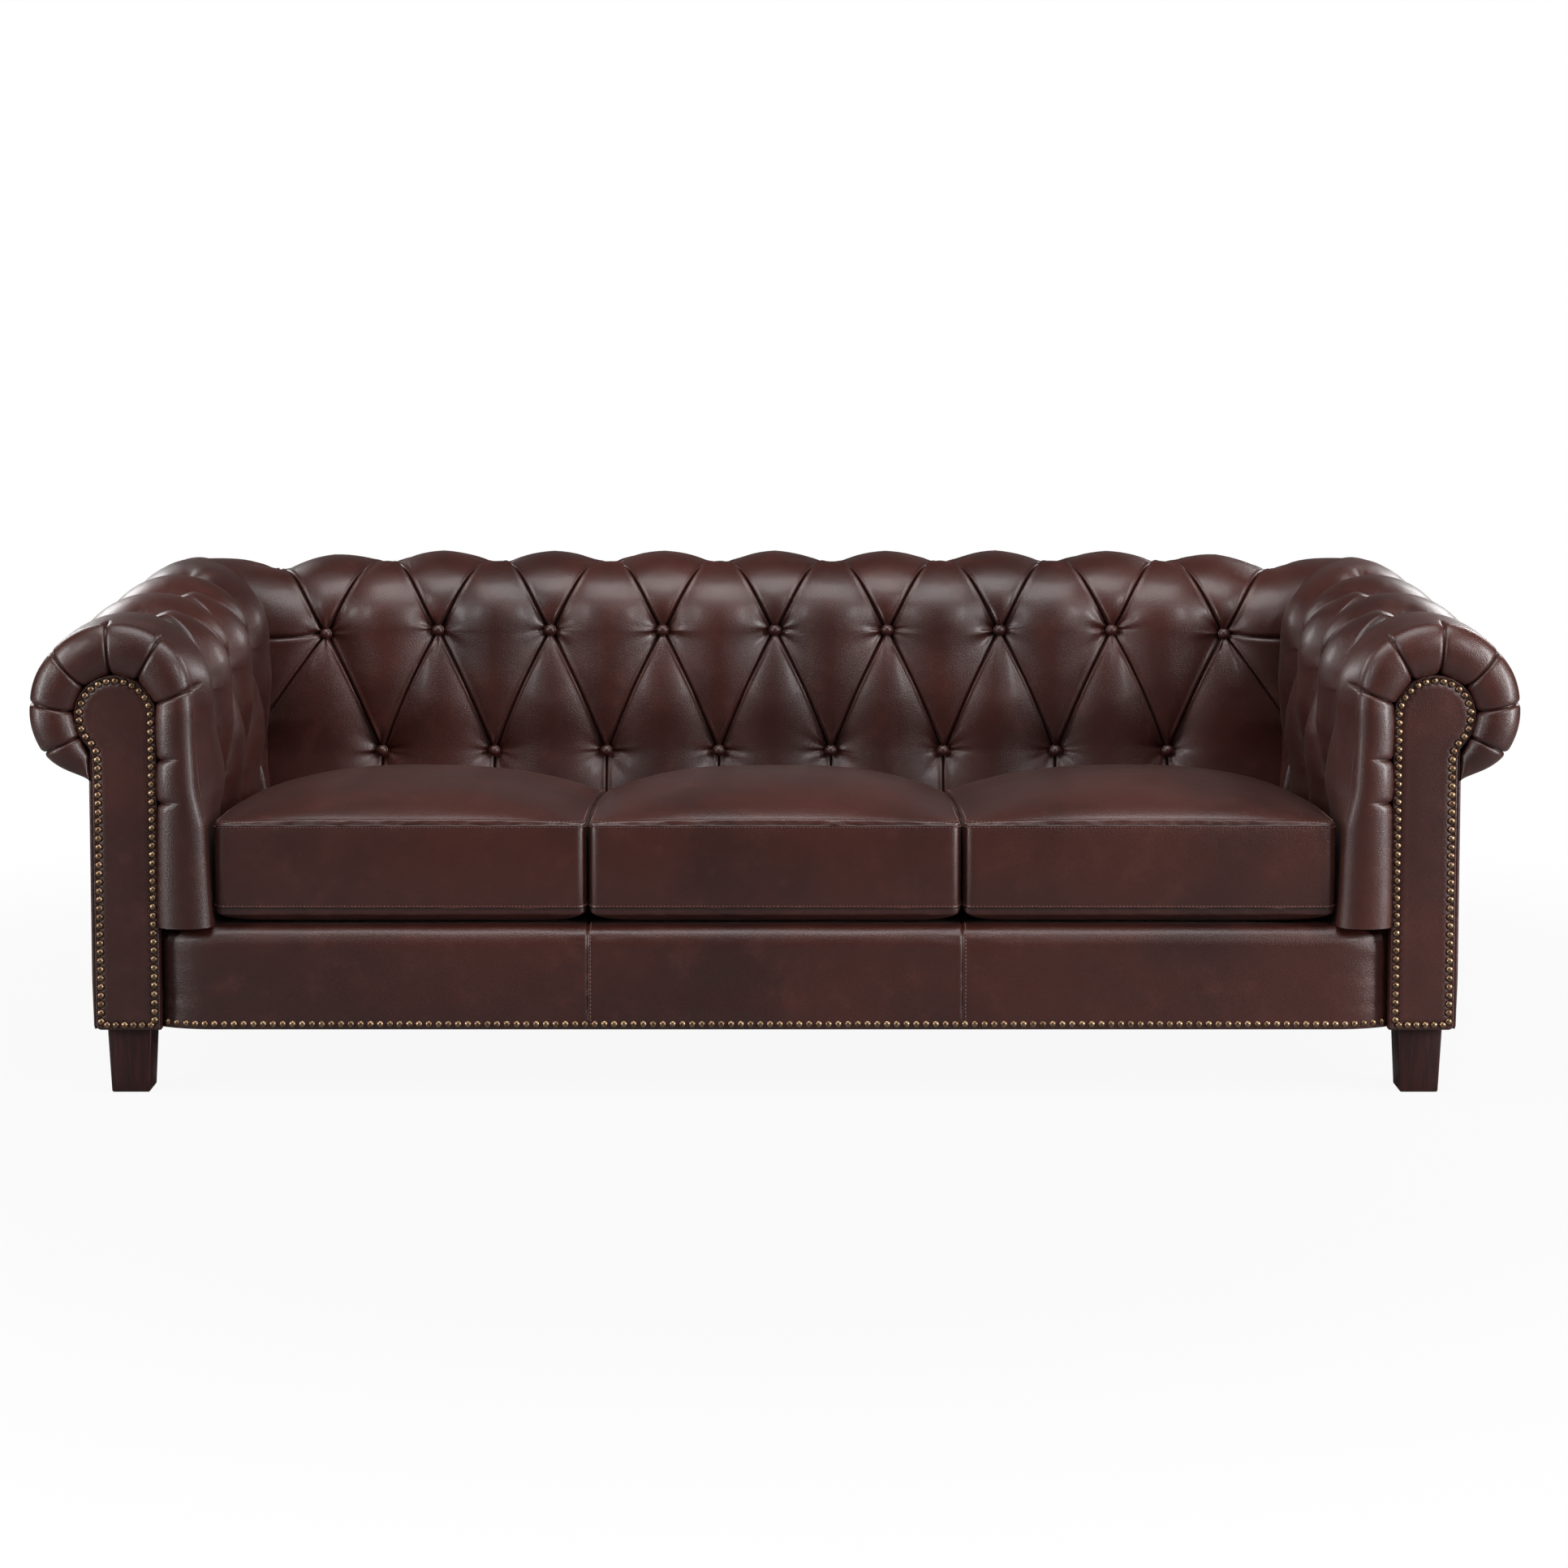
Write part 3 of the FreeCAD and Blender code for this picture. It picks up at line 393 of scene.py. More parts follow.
# Arms: one hide on each, over foam on the scroll boards. It comes up from the seat, over the roll
# and under it to the outside panel. Leather buttons on twine pull it in, deep folds join them, and
# its front is gathered in pleats round the keyhole board.
def leather_finish(name, dark, warm, pale):
    """Waxed aniline leather: pebbled and clouded in colour, with painted shade darkening its folds."""
    hide = Finish(name, {"Specular IOR Level": 0.42, "Coat Weight": 0.18, "Coat Roughness": 0.22,
                         "Sheen Weight": 0.04, "Sheen Roughness": 0.35,
                         "Sheen Tint": (1, 0.82, 0.78, 1)})
    # This attribute holds painted shade for folds, pleats, button pits, seams and the dents round
    # nails.
    fold_and_painted_shade = hide.node("Attribute", {"attribute_name": "fold_and_painted_shade"}, {}, "Fac")
    clouds = hide.noise(3.1, 4, roughness=0.6)
    mottle = hide.noise(21, 5, roughness=0.62)
    pebble = hide.node("TexVoronoi", {"feature": "SMOOTH_F1"}, {"Vector": hide.place, "Scale": 620})
    pores = hide.node("TexVoronoi", {"feature": "F1"}, {"Vector": hide.place, "Scale": 1500})
    creases = hide.noise(62, 5, roughness=0.7)
    colour = hide.mix(clouds.between(0.34, 0.66), dark, warm)
    colour = hide.mix(mottle.between(0.5, 0.8) * 0.55, colour, pale)
    colour = hide.mix(pebble.between(0.35, 0.75) * 0.3, colour, dark)
    # Painted shade: the colour goes nearly black where that attribute is high.
    colour = hide.mix(fold_and_painted_shade.between(0.45, 1.0) * 0.9, colour, paint(17, 8, 7))
    height = 0.7 - pebble * 0.7 - pores * 0.25 + creases * 0.28
    return hide.wear({
        "Base Color": colour,
        "Roughness": 0.25 + mottle * 0.12 + pebble * 0.08,
        "Normal": hide.bump(height, 0.5, 0.0010),
    })


leather = leather_finish("leather", paint(45, 19, 15), paint(62, 27, 21), paint(76, 37, 30))

# Sizes that the arms and the back share. s runs up the hide in metres: 0 at the shoulder, below it
# down to the tuck, above it round the roll.
roll_radius = 0.132
core_radius = 0.110
puff = 0.022
tuck_z = 0.2625
low_button_z = 0.444
quarter_turn = roll_radius * math.pi / 2
arm_x = cad_high.x - roll_radius
arm_front_z = 0.599
corner_z = 0.640
arm_lean = 0.013
arm_front = cad_low.y
back_y = cad_high.y - roll_radius
back_lean = 0.028
mitre_depth = back_y - arm_front
lean_run = 0.12
button_reach, button_limit = 0.040, 0.14
button_pull = 0.025
button_radius, button_dome = 0.0092, 0.72
rim_radius, rim_dome, rim_sink = 0.0104, 0.3, 0.0028
top_button_sink = 0.015
wrinkle_height, wrinkle_reach, wrinkle_turns = 0.0110, 0.024, 2.7
fold_depth, fold_shade, welt_height = 0.009, 0.0020, 0.0019
full_width, tip_width, fall_curve = 0.195, 0.049, 2.2
uneven_height = 0.0016
tack_run, tack_lift = 0.10, 0.004
arm_bulge, back_bulge = 0.013, 0.006
arm_soft, back_soft, mitre_soft = 0.024, 0.013, 0.004
seam_lift = 0.008
mitre_lap = 0.003


def section(reach, lean, centre, down, turn):
    """Place on the padded section: how far out from the roll's middle, and its height."""
    if down > 0:
        swing = lean * down * down / (down + lean_run) * (1 + lean_run)
        return -(reach + swing), centre + (tuck_z - centre) * down
    return -reach * math.cos(turn), centre + reach * math.sin(turn)


def rows_between(bottom, top, wide, marks):
    """Places of rows up the hide, wide apart on plain stretches and close beside each mark."""
    rows = [bottom]
    while rows[-1] < top:
        near = min(abs(rows[-1] + wide / 5 - mark) for mark in marks)
        rows.append(rows[-1] + wide * min(1, 0.2 + near / 0.028))
    rows[-1] = top
    for mark in marks:
        nearest = min(range(len(rows)), key=lambda n: abs(rows[n] - mark))
        rows[nearest] = mark
    return rows


def rounded(share):
    """Height of a rounded edge at a share of its width: 0 at the edge, 1 inside."""
    return 1 if share >= 1 else math.sqrt(max(0, 1 - (1 - share) ** 2))


def tug(x, s, buttons):
    """How strongly the buttons pull at a place, and the small wrinkles that radiate from them."""
    pull, wrinkle = 0, 0
    for button_x, button_s in buttons:
        across, up = x - button_x, s - button_s
        if abs(across) < button_limit and abs(up) < button_limit:
            away = max(1e-5, math.hypot(across, up))
            pull = max(pull, math.exp(-away / button_reach))
            spot = Vector((across / away * wrinkle_turns + button_x * 31,
                           up / away * wrinkle_turns + button_s * 17, away * 7))
            fade = math.exp(-away / wrinkle_reach) * smooth((away - 0.007) / 0.006)
            wrinkle += fade * noise.noise(spot)
    return pull, wrinkle


def tufted_hide(rows, pleats, parts, shape):
    """A hide whose columns are gathered between the pleats of each row.

    pleats(s) gives the places of a row's pleats and parts the columns between each two of them.
    shape gives a place's point and its painted shade, dark in folds and pits.
    """
    across = sum(parts)
    starts = [sum(parts[:n]) for n in range(len(parts) + 1)]
    hide = bmesh.new()
    bmesh.ops.create_grid(hide, x_segments=across, y_segments=len(rows) - 1, size=1)
    # This layer holds painted shade for the hide's colour.
    depth = hide.verts.layers.float.new("fold_and_painted_shade")
    lines = [pleats(s) for s in rows]
    for vert in hide.verts:
        column = round((vert.co.x + 1) / 2 * across)
        row = round((vert.co.y + 1) / 2 * (len(rows) - 1))
        part = next(n for n in range(len(parts)) if column <= starts[n + 1])
        share = (column - starts[part]) / parts[part]
        near, far = lines[row][part], lines[row][part + 1]
        even = (1 - math.cos(math.pi * share)) / 2
        place = near + (far - near) * (0.6 * even + 0.4 * smooth(even))
        vert.co, vert[depth] = shape(place, rows[row], near, far, part)
    bmesh.ops.remove_doubles(hide, verts=hide.verts, dist=0.00006)
    return hide


def crown(place, near, far, folds, lip, softs):
    """How far a padded part stands up from its folds, and the painted shade of a place in one.

    softs says how far the padding falls away towards its near and its far side. A part that has
    closed to a single pleat lies as deep as its neighbours' edges.
    """
    sides_in = [abs(place - edge) for edge, folded in zip((near, far), folds) if folded]
    inside = min(sides_in) if sides_in else 1
    edge = 2 * (place - near) / max(far - near, 1e-6) - 1
    fall = softs[0] * max(0, -edge) ** fall_curve + softs[1] * max(0, edge) ** fall_curve
    wide = min(1, (far - near) / full_width) if far - near > 1e-5 else 1
    fold_and_painted_shade = 1 - rounded(inside / lip)
    welt = welt_height * bell(inside - lip, 0.6 * lip) * smooth(wide * 6)
    # The second value is painted shade, darkest on the fold's line.
    return welt - fold_depth * fold_and_painted_shade - fall * wide, math.exp(-inside / fold_shade)


def tip_dive(s, near, far, soft):
    """The narrow tips of the puffs on the roll dive to the depth of their neighbours' edges."""
    narrow = max(0, 1 - (far - near) / tip_width) if far - near > 1e-5 else 0
    return soft * narrow * smooth(s / quarter_turn)


def uneven(x, s):
    """The slight unevenness of hand-filled padding."""
    return uneven_height * noise.noise(Vector((x * 11, s * 11, 3.7)))


arm_pitch = 0.203
arm_buttons_at = [0.150 + n * arm_pitch for n in range(3)]
arm_middle_z = (arm_front_z + corner_z) / 2
arm_tuck = tuck_z - arm_middle_z
arm_low = low_button_z - arm_middle_z
arm_end = roll_radius * math.radians(249.6)
arm_edge = 0.0275
ring_length = 0.105
ring_inner = 0.061
bulb_drop = 0.010
post_edge = 0.0335
ring_pleats = [roll_radius * math.radians(a) for a in (15, 57, 95, 138, 176, 212)]
short_pleats = [z - arm_middle_z for z in (0.543, 0.471)]
ring_pleat_width, short_pleat_width = 0.0075, 0.012
pleat_start, short_pleat_start, swell_start, start_run = -0.28, 0.45, 0.35, 0.3
gather_depth, swell_height, swell_fade, low_swell = 0.0075, 0.0026, 0.03, 0.6
ease_depth, ease_bottom, ease_top, ease_run = 0.010, -0.20, 0.10, 0.06
bulge_bottom, bulge_top, bulge_width = -0.21, 0.13, 0.12
fold_bow = 0.045
arm_lips, back_lips = (0.005, 0.0085), (0.0046, 0.0030)
arm_buttons = [(d, 0) for d in arm_buttons_at]
arm_buttons += [(d + arm_pitch / 2, s) for d in arm_buttons_at for s in (arm_low, quarter_turn)]


def spread(s, low):
    """How far the folds from a shoulder button have parted: 0 beside it, 1 at the next row."""
    return min(1, abs(s) / (abs(low) if s < 0 else quarter_turn))


def bowed(s, low):
    """The folds below the shoulder bow outwards between their two buttons."""
    return fold_bow * math.sin(math.pi * s / low) if low < s < 0 else 0


def arm_pleats(s):
    """Places of the pleats on the arm: the front ring's two edges, the folds and the mitre."""
    share = (spread(s, arm_low) + bowed(s, arm_low)) * arm_pitch / 2
    back_reach = section(core_radius + seam_lift, back_lean, corner_z, s / (tuck_z - corner_z),
                         s / roll_radius)[0]
    first, second, third = arm_buttons_at
    limit = mitre_depth + back_reach + mitre_lap
    return [arm_edge - ring_length, arm_edge, first + share, second - share, second + share,
            third - share, min(third + share, limit), limit]


def arm_point(d, s, lift):
    """Point of the left arm's hide: round the front ring, or behind it along the arm."""
    down, turn = (s / arm_tuck, 0) if s < 0 else (0, s / roll_radius)
    along = max(d, arm_edge)
    centre = arm_front_z + (corner_z - arm_front_z) * min(1, along / (mitre_depth - roll_radius))
    if d >= arm_edge:
        out, height = section(core_radius + lift, arm_lean, centre, down, turn)
        return Vector((-arm_x - out, arm_front + d, height))
    round_share = (arm_edge - d) / ring_length
    inner = max(ring_inner, post_edge / max(0.3, -math.cos(turn))) if turn > math.pi else ring_inner
    outer = core_radius + puff
    extra = lift - puff
    reach = (outer + inner) / 2 + ((outer - inner) / 2 + extra) * math.cos(math.pi * round_share)
    inward = (outer - reach) / (outer - inner)
    out, height = section(reach, arm_lean * (1 - inward), centre - bulb_drop * inward, down, turn)
    forward = (arm_edge + extra) * math.sin(math.pi * round_share)
    return Vector((-arm_x - out, arm_front + arm_edge - forward, height))


def ring_fold(d, s):
    """Depth share of the front's gathered pleats at a place."""
    share = (arm_edge - d) / ring_length
    size = 1 - 0.45 * min(1, max(0, share))
    best = 0
    for mark in ring_pleats:
        fade = smooth((share - pleat_start) / start_run)
        best = max(best, (1 - rounded(abs(s - mark) * size / ring_pleat_width)) * fade)
    for mark in short_pleats:
        fade = smooth((share - short_pleat_start) / start_run)
        best = max(best, (1 - rounded(abs(s - mark) / short_pleat_width)) * fade)
    return best


def ring_swell(d, s):
    """The gathers swell between the pleats of the arm's front, and low down only beside the board."""
    low = low_swell * smooth(((arm_edge - d) / ring_length - swell_start) / start_run)
    marks = sorted(short_pleats + ring_pleats)
    if s <= marks[0] or s >= marks[-1]:
        beyond = max(marks[0] - s, s - marks[-1])
        return -math.exp(-beyond / swell_fade) * (low if s < 0 else 1)
    for first, second in zip(marks, marks[1:]):
        if first <= s <= second:
            share = smooth((s + 0.02) / 0.04)
            swell = math.sin(math.pi * (s - first) / (second - first)) - 1
            return swell * (share + (1 - share) * low)


def bulge(place, s, near, far):
    """How far the middle of a puff stands out over the seat, from just above the cushions up."""
    high = smooth((s - bulge_bottom) / 0.08) * smooth((bulge_top - s) / 0.10)
    across = math.sin(math.pi * (place - near) / max(far - near, 1e-6))
    return high * across * min(1, (far - near) / bulge_width)


def front_ease(d, s):
    """The arm's inner edge rounds off gently towards its front."""
    beside = (d - arm_edge) / ease_run if d > arm_edge else 2 * (arm_edge - d) / ring_length
    high = smooth((ease_top - s) / 0.10) * smooth((s - ease_bottom) / 0.08)
    return high * (1 - smooth(beside))


def arm_shape(d, s, near, far, part):
    """Point of the left arm's hide d metres behind its front, and painted shade for folds and pits."""
    pull, wrinkle = tug(d, s, arm_buttons)
    folds = (part > 1, part > 0)
    lip = arm_lips[part % 2]
    softs = (arm_soft * (part > 1), 0 if part == 0 else mitre_soft if part == 6 else arm_soft)
    relief, fold_and_painted_shade = crown(d, near, far, folds, lip, softs)
    relief -= tip_dive(s, near, far, arm_soft)
    gather = ring_fold(d, s) if d < arm_edge + 0.03 else 0
    relief += arm_bulge * bulge(d, s, near, far) * (part > 0) - ease_depth * front_ease(d, s)
    relief -= gather_depth * gather
    if d < arm_edge + 0.02:
        relief += swell_height * ring_swell(d, s) * smooth((arm_edge + 0.02 - d) / 0.05)
    flat = smooth((s - arm_end + tack_run) / tack_run)
    lift = puff - button_pull * pull + relief + uneven(d, s + 5) + wrinkle_height * wrinkle
    lift = lift * (1 - flat) + tack_lift * flat
    # Painted shade: dark in the folds, in the front's pleats and in each button's pit.
    return arm_point(d, s, lift), max(fold_and_painted_shade, gather ** 2, 0.6 * pull ** 5)


def outward(point, x, s):
    """The way a padded surface faces at a place."""
    along = point(x + 0.002, s, 0) - point(x - 0.002, s, 0)
    up = point(x, s + 0.002, 0) - point(x, s - 0.002, 0)
    return along.cross(up).normalized()


def button_group(places, point, lift):
    """Domed leather-covered buttons on a padded surface; the top row sits a little deeper."""
    group = bmesh.new()
    for x, s in places:
        facing = outward(point, x, s)
        turn = facing.to_track_quat("Z", "Y").to_matrix().to_4x4()
        sunk = lift - top_button_sink * smooth(s / quarter_turn)
        seat = Matrix.Translation(point(x, s, sunk)) @ turn
        dome = seat @ Matrix.Diagonal((1, 1, button_dome, 1))
        bmesh.ops.create_uvsphere(group, u_segments=20, v_segments=12, radius=button_radius,
                                  matrix=dome)
        rim = seat @ Matrix.Translation((0, 0, -rim_sink)) @ Matrix.Diagonal((1, 1, rim_dome, 1))
        bmesh.ops.create_uvsphere(group, u_segments=20, v_segments=8, radius=rim_radius, matrix=rim)
    return group


button_lift = 0.003
arm_rows = rows_between(arm_tuck, arm_end, 0.0062,
                        [arm_low, 0, quarter_turn] + ring_pleats + short_pleats)
arm_parts = [26, 36, 30, 26, 30, 26, 24]
for side in sides:
    hide = tufted_hide(arm_rows, arm_pleats, arm_parts, arm_shape)
    buttons = button_group(arm_buttons, arm_point, button_lift)
    if side == "right":
        for shape in (hide, buttons):
            bmesh.ops.scale(shape, verts=shape.verts, vec=(-1, 1, 1))
            bmesh.ops.reverse_faces(shape, faces=shape.faces)
    arm = piece(side + "_arm_leather", hide, leather)
    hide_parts(side + "_arm_cover", side + "_arm_foam")
    knobs = piece(side + "_arm_tufts", buttons, leather)
    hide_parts(side + "_arm_buttons")

# Back: the same tufted work between the arms, nine buttons along the shoulder, eight below and a
# third row on top of the roll. Its ends come down a little to meet the arms at a mitred fold.
back_pitch = 0.195
back_columns = [n * back_pitch for n in range(-4, 5)]
crest_z = cad_high.z - roll_radius + 0.006
back_tuck = tuck_z - crest_z
back_low = low_button_z - crest_z
back_end = roll_radius * math.radians(232.8)
corner_fold_drop = 0.150
corner_start, corner_run = 0.66, 0.24
side_fold_width = 0.009
back_buttons = [(x, 0) for x in back_columns]
back_buttons += [(x + back_pitch / 2, back_low) for x in back_columns[:-1]]
back_buttons += [(x - back_pitch / 2, quarter_turn)
                 for x in back_columns + [back_columns[-1] + back_pitch]]


def back_pleats(s):
    """Places of the pleats across the back, from mitre to mitre."""
    share = (spread(s, back_low) + bowed(s, back_low)) * back_pitch / 2
    arm_reach = section(core_radius + seam_lift, arm_lean, corner_z,
                        s / back_tuck if s < 0 else 0, s / roll_radius)[0]
    limit = arm_x + arm_reach + mitre_lap
    last = back_columns[-1]
    end = last + share if s >= 0 else min(limit, last + (limit - last) * min(1, -s / corner_fold_drop))
    lines = []
    for x in back_columns:
        lines += [x - share, x + share]
    lines[0], lines[-1] = -end, end
    return [-limit] + lines + [limit]


def back_point(x, s, lift):
    """Point of the back's hide x metres from its middle, lifted off its core."""
    centre = crest_z - (crest_z - corner_z) * smooth((abs(x) - corner_start) / corner_run)
    down, turn = (s / back_tuck, 0) if s < 0 else (0, s / roll_radius)
    out, height = section(core_radius + lift, back_lean, centre, down, turn)
    return Vector((x, back_y + out, height))


def back_shape(x, s, near, far, part):
    """Point of the back's hide x metres from its middle, and painted shade for folds and pits."""
    pull, wrinkle = tug(x, s, back_buttons)
    lip = back_lips[part % 2]
    softs = (mitre_soft if part == 0 else back_soft, mitre_soft if part == 18 else back_soft)
    relief, fold_and_painted_shade = crown(x, near, far, (True, True), lip, softs)
    relief -= tip_dive(s, near, far, back_soft)
    relief += back_bulge * bulge(x, s, near, far)
    if part in (0, 18) and abs(x) > back_columns[-1]:
        side_fold = 1 - rounded(abs(s) / side_fold_width)
        side_fold *= smooth((abs(x) - back_columns[-1]) / 0.01)
        relief -= fold_depth * side_fold
        # Painted shade also darkens the side fold beside the arm.
        fold_and_painted_shade = max(fold_and_painted_shade, side_fold ** 2)
    flat = smooth((s - back_end + tack_run) / tack_run)
    lift = puff - button_pull * pull + relief + uneven(x, s) + wrinkle_height * wrinkle
    lift = lift * (1 - flat) + tack_lift * flat
    # Painted shade: dark in the folds and in each button's pit.
    return back_point(x, s, lift), max(fold_and_painted_shade, 0.6 * pull ** 5)


back_rows = rows_between(back_tuck, back_end, 0.0066, [back_low, 0, quarter_turn])
back_parts = [22] + [28] * 17 + [22]
hide = tufted_hide(back_rows, back_pleats, back_parts, back_shape)
back = piece("back_leather", hide, leather)
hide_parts("back_cover", "back_foam")
knobs = piece("back_tufts", button_group(back_buttons, back_point, button_lift), leather)
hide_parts("back_buttons")


# Front rail cover: three leather panels over a padded rail, sewn together and folded over the top
# edge under the cushions. Its ends turn back a little towards the arm fronts.
rail_front, rail_top, rail_bottom, rail_lip = cad_low.y + 0.0205, 0.262, 0.1022, -0.347
rail_round = 0.030
rail_hem = 0.0035
rail_under_hem = (0.022, 0.012)
rail_lip_foot = 0.245
rail_end, rail_seam = 0.9467, 0.289
rail_bow, rail_bow_run, rail_bow_curve = 0.021, 0.085, 2.2
rail_seam_dip, rail_seam_width = 0.0018, 0.0014
rail_lip_height, rail_lip_at, rail_lip_width = 0.0004, 0.0045, 0.0025
rail_shade_width = 0.001
rail_swell, rail_swell_run = 0.0012, 0.05


def corner(centre_y, centre_z, radius, start, end, steps):
    """Places and outward directions round a corner of a section, angles in degrees from the front."""
    found = []
    for step in range(steps + 1):
        angle = math.radians(start + (end - start) * step / steps)
        away = (-math.cos(angle), math.sin(angle))
        found.append((centre_y + radius * away[0], centre_z + radius * away[1], away))
    return found


def run(first, last, away, steps):
    """Places on a straight stretch of a section, without its two ends."""
    (y0, z0), (y1, z1) = first, last
    return [(y0 + (y1 - y0) * n / steps, z0 + (z1 - z0) * n / steps, away) for n in range(1, steps)]


rail_line = [(rail_front + hem, rail_bottom, (0, -1)) for hem in rail_under_hem]
rail_line += corner(rail_front + rail_hem, rail_bottom + rail_hem, rail_hem, -90, 0, 4)
rail_line += run((rail_front, rail_bottom + rail_hem), (rail_front, rail_top - rail_round), (-1, 0), 24)
rail_line += corner(rail_front + rail_round, rail_top - rail_round, rail_round, 0, 90, 12)
rail_line += run((rail_front + rail_round, rail_top), (rail_lip - rail_hem, rail_top), (0, 1), 11)
rail_line += corner(rail_lip - rail_hem, rail_top - rail_hem, rail_hem, 90, 180, 3)
rail_line += [(rail_lip, rail_lip_foot, (1, 0))]


def rail_point(x, step, lift):
    """Point of the rail's leather: a step along its section, lifted off the padding."""
    y, z, away = rail_line[step]
    turned = max(0, (abs(x) - rail_end + rail_bow_run) / rail_bow_run)
    back = rail_bow * turned ** rail_bow_curve * smooth((rail_front + 0.075 - y) / 0.06)
    return Vector((x, y + back + away[0] * lift, z + away[1] * lift))


def sheet_grid(columns, rows, place):
    """A sheet of columns and rows; place gives each point and the painted shade it gets."""
    sheet = bmesh.new()
    bmesh.ops.create_grid(sheet, x_segments=columns, y_segments=rows, size=1)
    # This layer holds painted shade for the leather's colour.
    depth = sheet.verts.layers.float.new("fold_and_painted_shade")
    for vert in sheet.verts:
        column, row = round((vert.co.x + 1) / 2 * columns), round((vert.co.y + 1) / 2 * rows)
        vert.co, vert[depth] = place(column, row)
    return sheet


def stations(length, count, near):
    """Places along a length: as near gives them at both ends and even between."""
    even = count + 2 - 2 * len(near)
    inner = [near[-1] + (length - 2 * near[-1]) * n / even for n in range(1, even)]
    return near + inner + [length - place for place in reversed(near)]


def repeated(group, matrices, around, down):
    """Add a ball of around by down faces to a group at each matrix."""
    ball = bmesh.new()
    bmesh.ops.create_uvsphere(ball, u_segments=around, v_segments=down, radius=1)
    shape = bpy.data.meshes.new("ball")
    for matrix in matrices:
        ball.to_mesh(shape)
        shape.transform(matrix)
        group.from_mesh(shape)
    ball.free()
    bpy.data.meshes.remove(shape)


stitch_pitch, stitch_size = 0.0056, (0.0021, 0.0008, 0.0007, 1)


def stitch_row(group, line, facing):
    """Short stitches of thread along a line of places, lying flat on the leather."""
    gone, last, matrices = 0, line[0], []
    for place in line[1:]:
        gone += (place - last).length
        if gone >= stitch_pitch:
            along = (place - last).normalized()
            across = facing(place).cross(along).normalized()
            turn = Matrix((along, across, along.cross(across))).transposed().to_4x4()
            matrices.append(Matrix.Translation(place) @ turn @ Matrix.Diagonal(stitch_size))
            gone = 0
        last = place
    repeated(group, matrices, 6, 4)


thread = Finish("thread", {"Specular IOR Level": 0.3})
strands = thread.noise(900, 2)
thread.wear({
    "Base Color": thread.mix(strands.between(0.4, 0.6), paint(92, 58, 50), paint(130, 94, 84)),
    "Roughness": 0.6 + strands * 0.15,
    "Normal": thread.bump(strands, 0.4, 0.0002),
})

seam_near = [0, 0.0014, 0.003, 0.0052, 0.0085, 0.014, 0.022]
rail_columns = 96
for name, x0, x1 in (("left", -rail_end, -rail_seam), ("middle", -rail_seam, rail_seam),
                     ("right", rail_seam, rail_end)):
    along = stations(x1 - x0, rail_columns, seam_near)

    def rail_place(column, row):
        x = x0 + along[column]
        inside = min(along[column], along[-1] - along[column])
        dip = rail_seam_dip * bell(inside, rail_seam_width)
        dip -= rail_lip_height * bell(inside - rail_lip_at, rail_lip_width)
        soft = 0.0009 * noise.noise(Vector((x * 7, row * 0.13, 2.1)))
        soft += rail_swell * smooth(inside / rail_swell_run)
        pull = 0.0016 * noise.noise(Vector((x * 22, row * 0.5, 8.4)))
        pull *= math.exp(-inside / rail_swell_run)
        steady = smooth((row - 6) / 5)
        shade = 0.6 * bell(inside, rail_shade_width)
        return rail_point(x, row, (soft + pull - dip) * steady), shade

    sheet = sheet_grid(rail_columns, len(rail_line) - 1, rail_place)
    panel = piece("rail_leather_" + name, sheet, leather)
    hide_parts("rail_cover_" + name, *(["front_rail_padding"] if name == "middle" else []))

stitch_beside, stitch_lift = 0.0048, 0.0012
group = bmesh.new()
for side in (-1, 1):
    line = [rail_point(side * rail_seam + stitch_beside, step, stitch_lift) for step in range(6, 44)]
    dense = [a.lerp(b, n / 8) for a, b in zip(line, line[1:]) for n in range(8)]
    stitch_row(group, dense, lambda place: Vector((0, -1, 0.01)))
piece("rail_seam_stitches", group, thread)


# Decorative nails: domed heads of antique brass, driven side by side through the lower edge of the
# rail's leather. They follow the rail where its ends turn back.
def brass_finish(name, bright, dull):
    """Antique brass: tarnished in patches, with small dark spots."""
    brass = Finish(name, {"Metallic": 1})
    tarnish = brass.noise(120, 4)
    spots = brass.noise(900, 3)
    colour = brass.mix(tarnish.between(0.38, 0.66), bright, dull)
    return brass.wear({
        "Base Color": brass.mix(spots.between(0.6, 0.75) * 0.5, colour, paint(58, 40, 26)),
        "Roughness": 0.27 + tarnish * 0.16,
        "Normal": brass.bump(spots, 0.2, 0.0002),
    })


antique_brass = brass_finish("antique_brass", paint(146, 120, 96), paint(96, 74, 58))
nail_radius, nail_dome = 0.0057, 0.0046


def nail_group(places):
    """Domed nail heads; each place has its point and the way the head faces."""
    group = bmesh.new()
    matrices = []
    for point, facing in places:
        turn = facing.to_track_quat("Z", "Y").to_matrix().to_4x4()
        dome = Matrix.Diagonal((nail_radius, nail_radius, nail_dome, 1))
        matrices.append(Matrix.Translation(point) @ turn @ dome)
    repeated(group, matrices, 12, 8)
    return group


rail_nail_z, rail_nail_pitch = 0.1112, 0.015
rail_nail_step, rail_nail_lift = 8, 0.0006
rail_nail_end = rail_end - 0.0075
count = round(2 * rail_nail_end / rail_nail_pitch)
places = []
for n in range(count + 1):
    x = -rail_nail_end + 2 * rail_nail_end * n / count
    seat = rail_point(x, rail_nail_step, 0)
    beside = rail_point(x + 0.002, rail_nail_step, 0) - seat
    point = Vector((x, seat.y + rail_nail_lift, rail_nail_z))
    places.append((point, Vector((beside.y, -beside.x, 0)).normalized()))
nails = piece("rail_nail_heads", nail_group(places), antique_brass)
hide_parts("rail_nails")

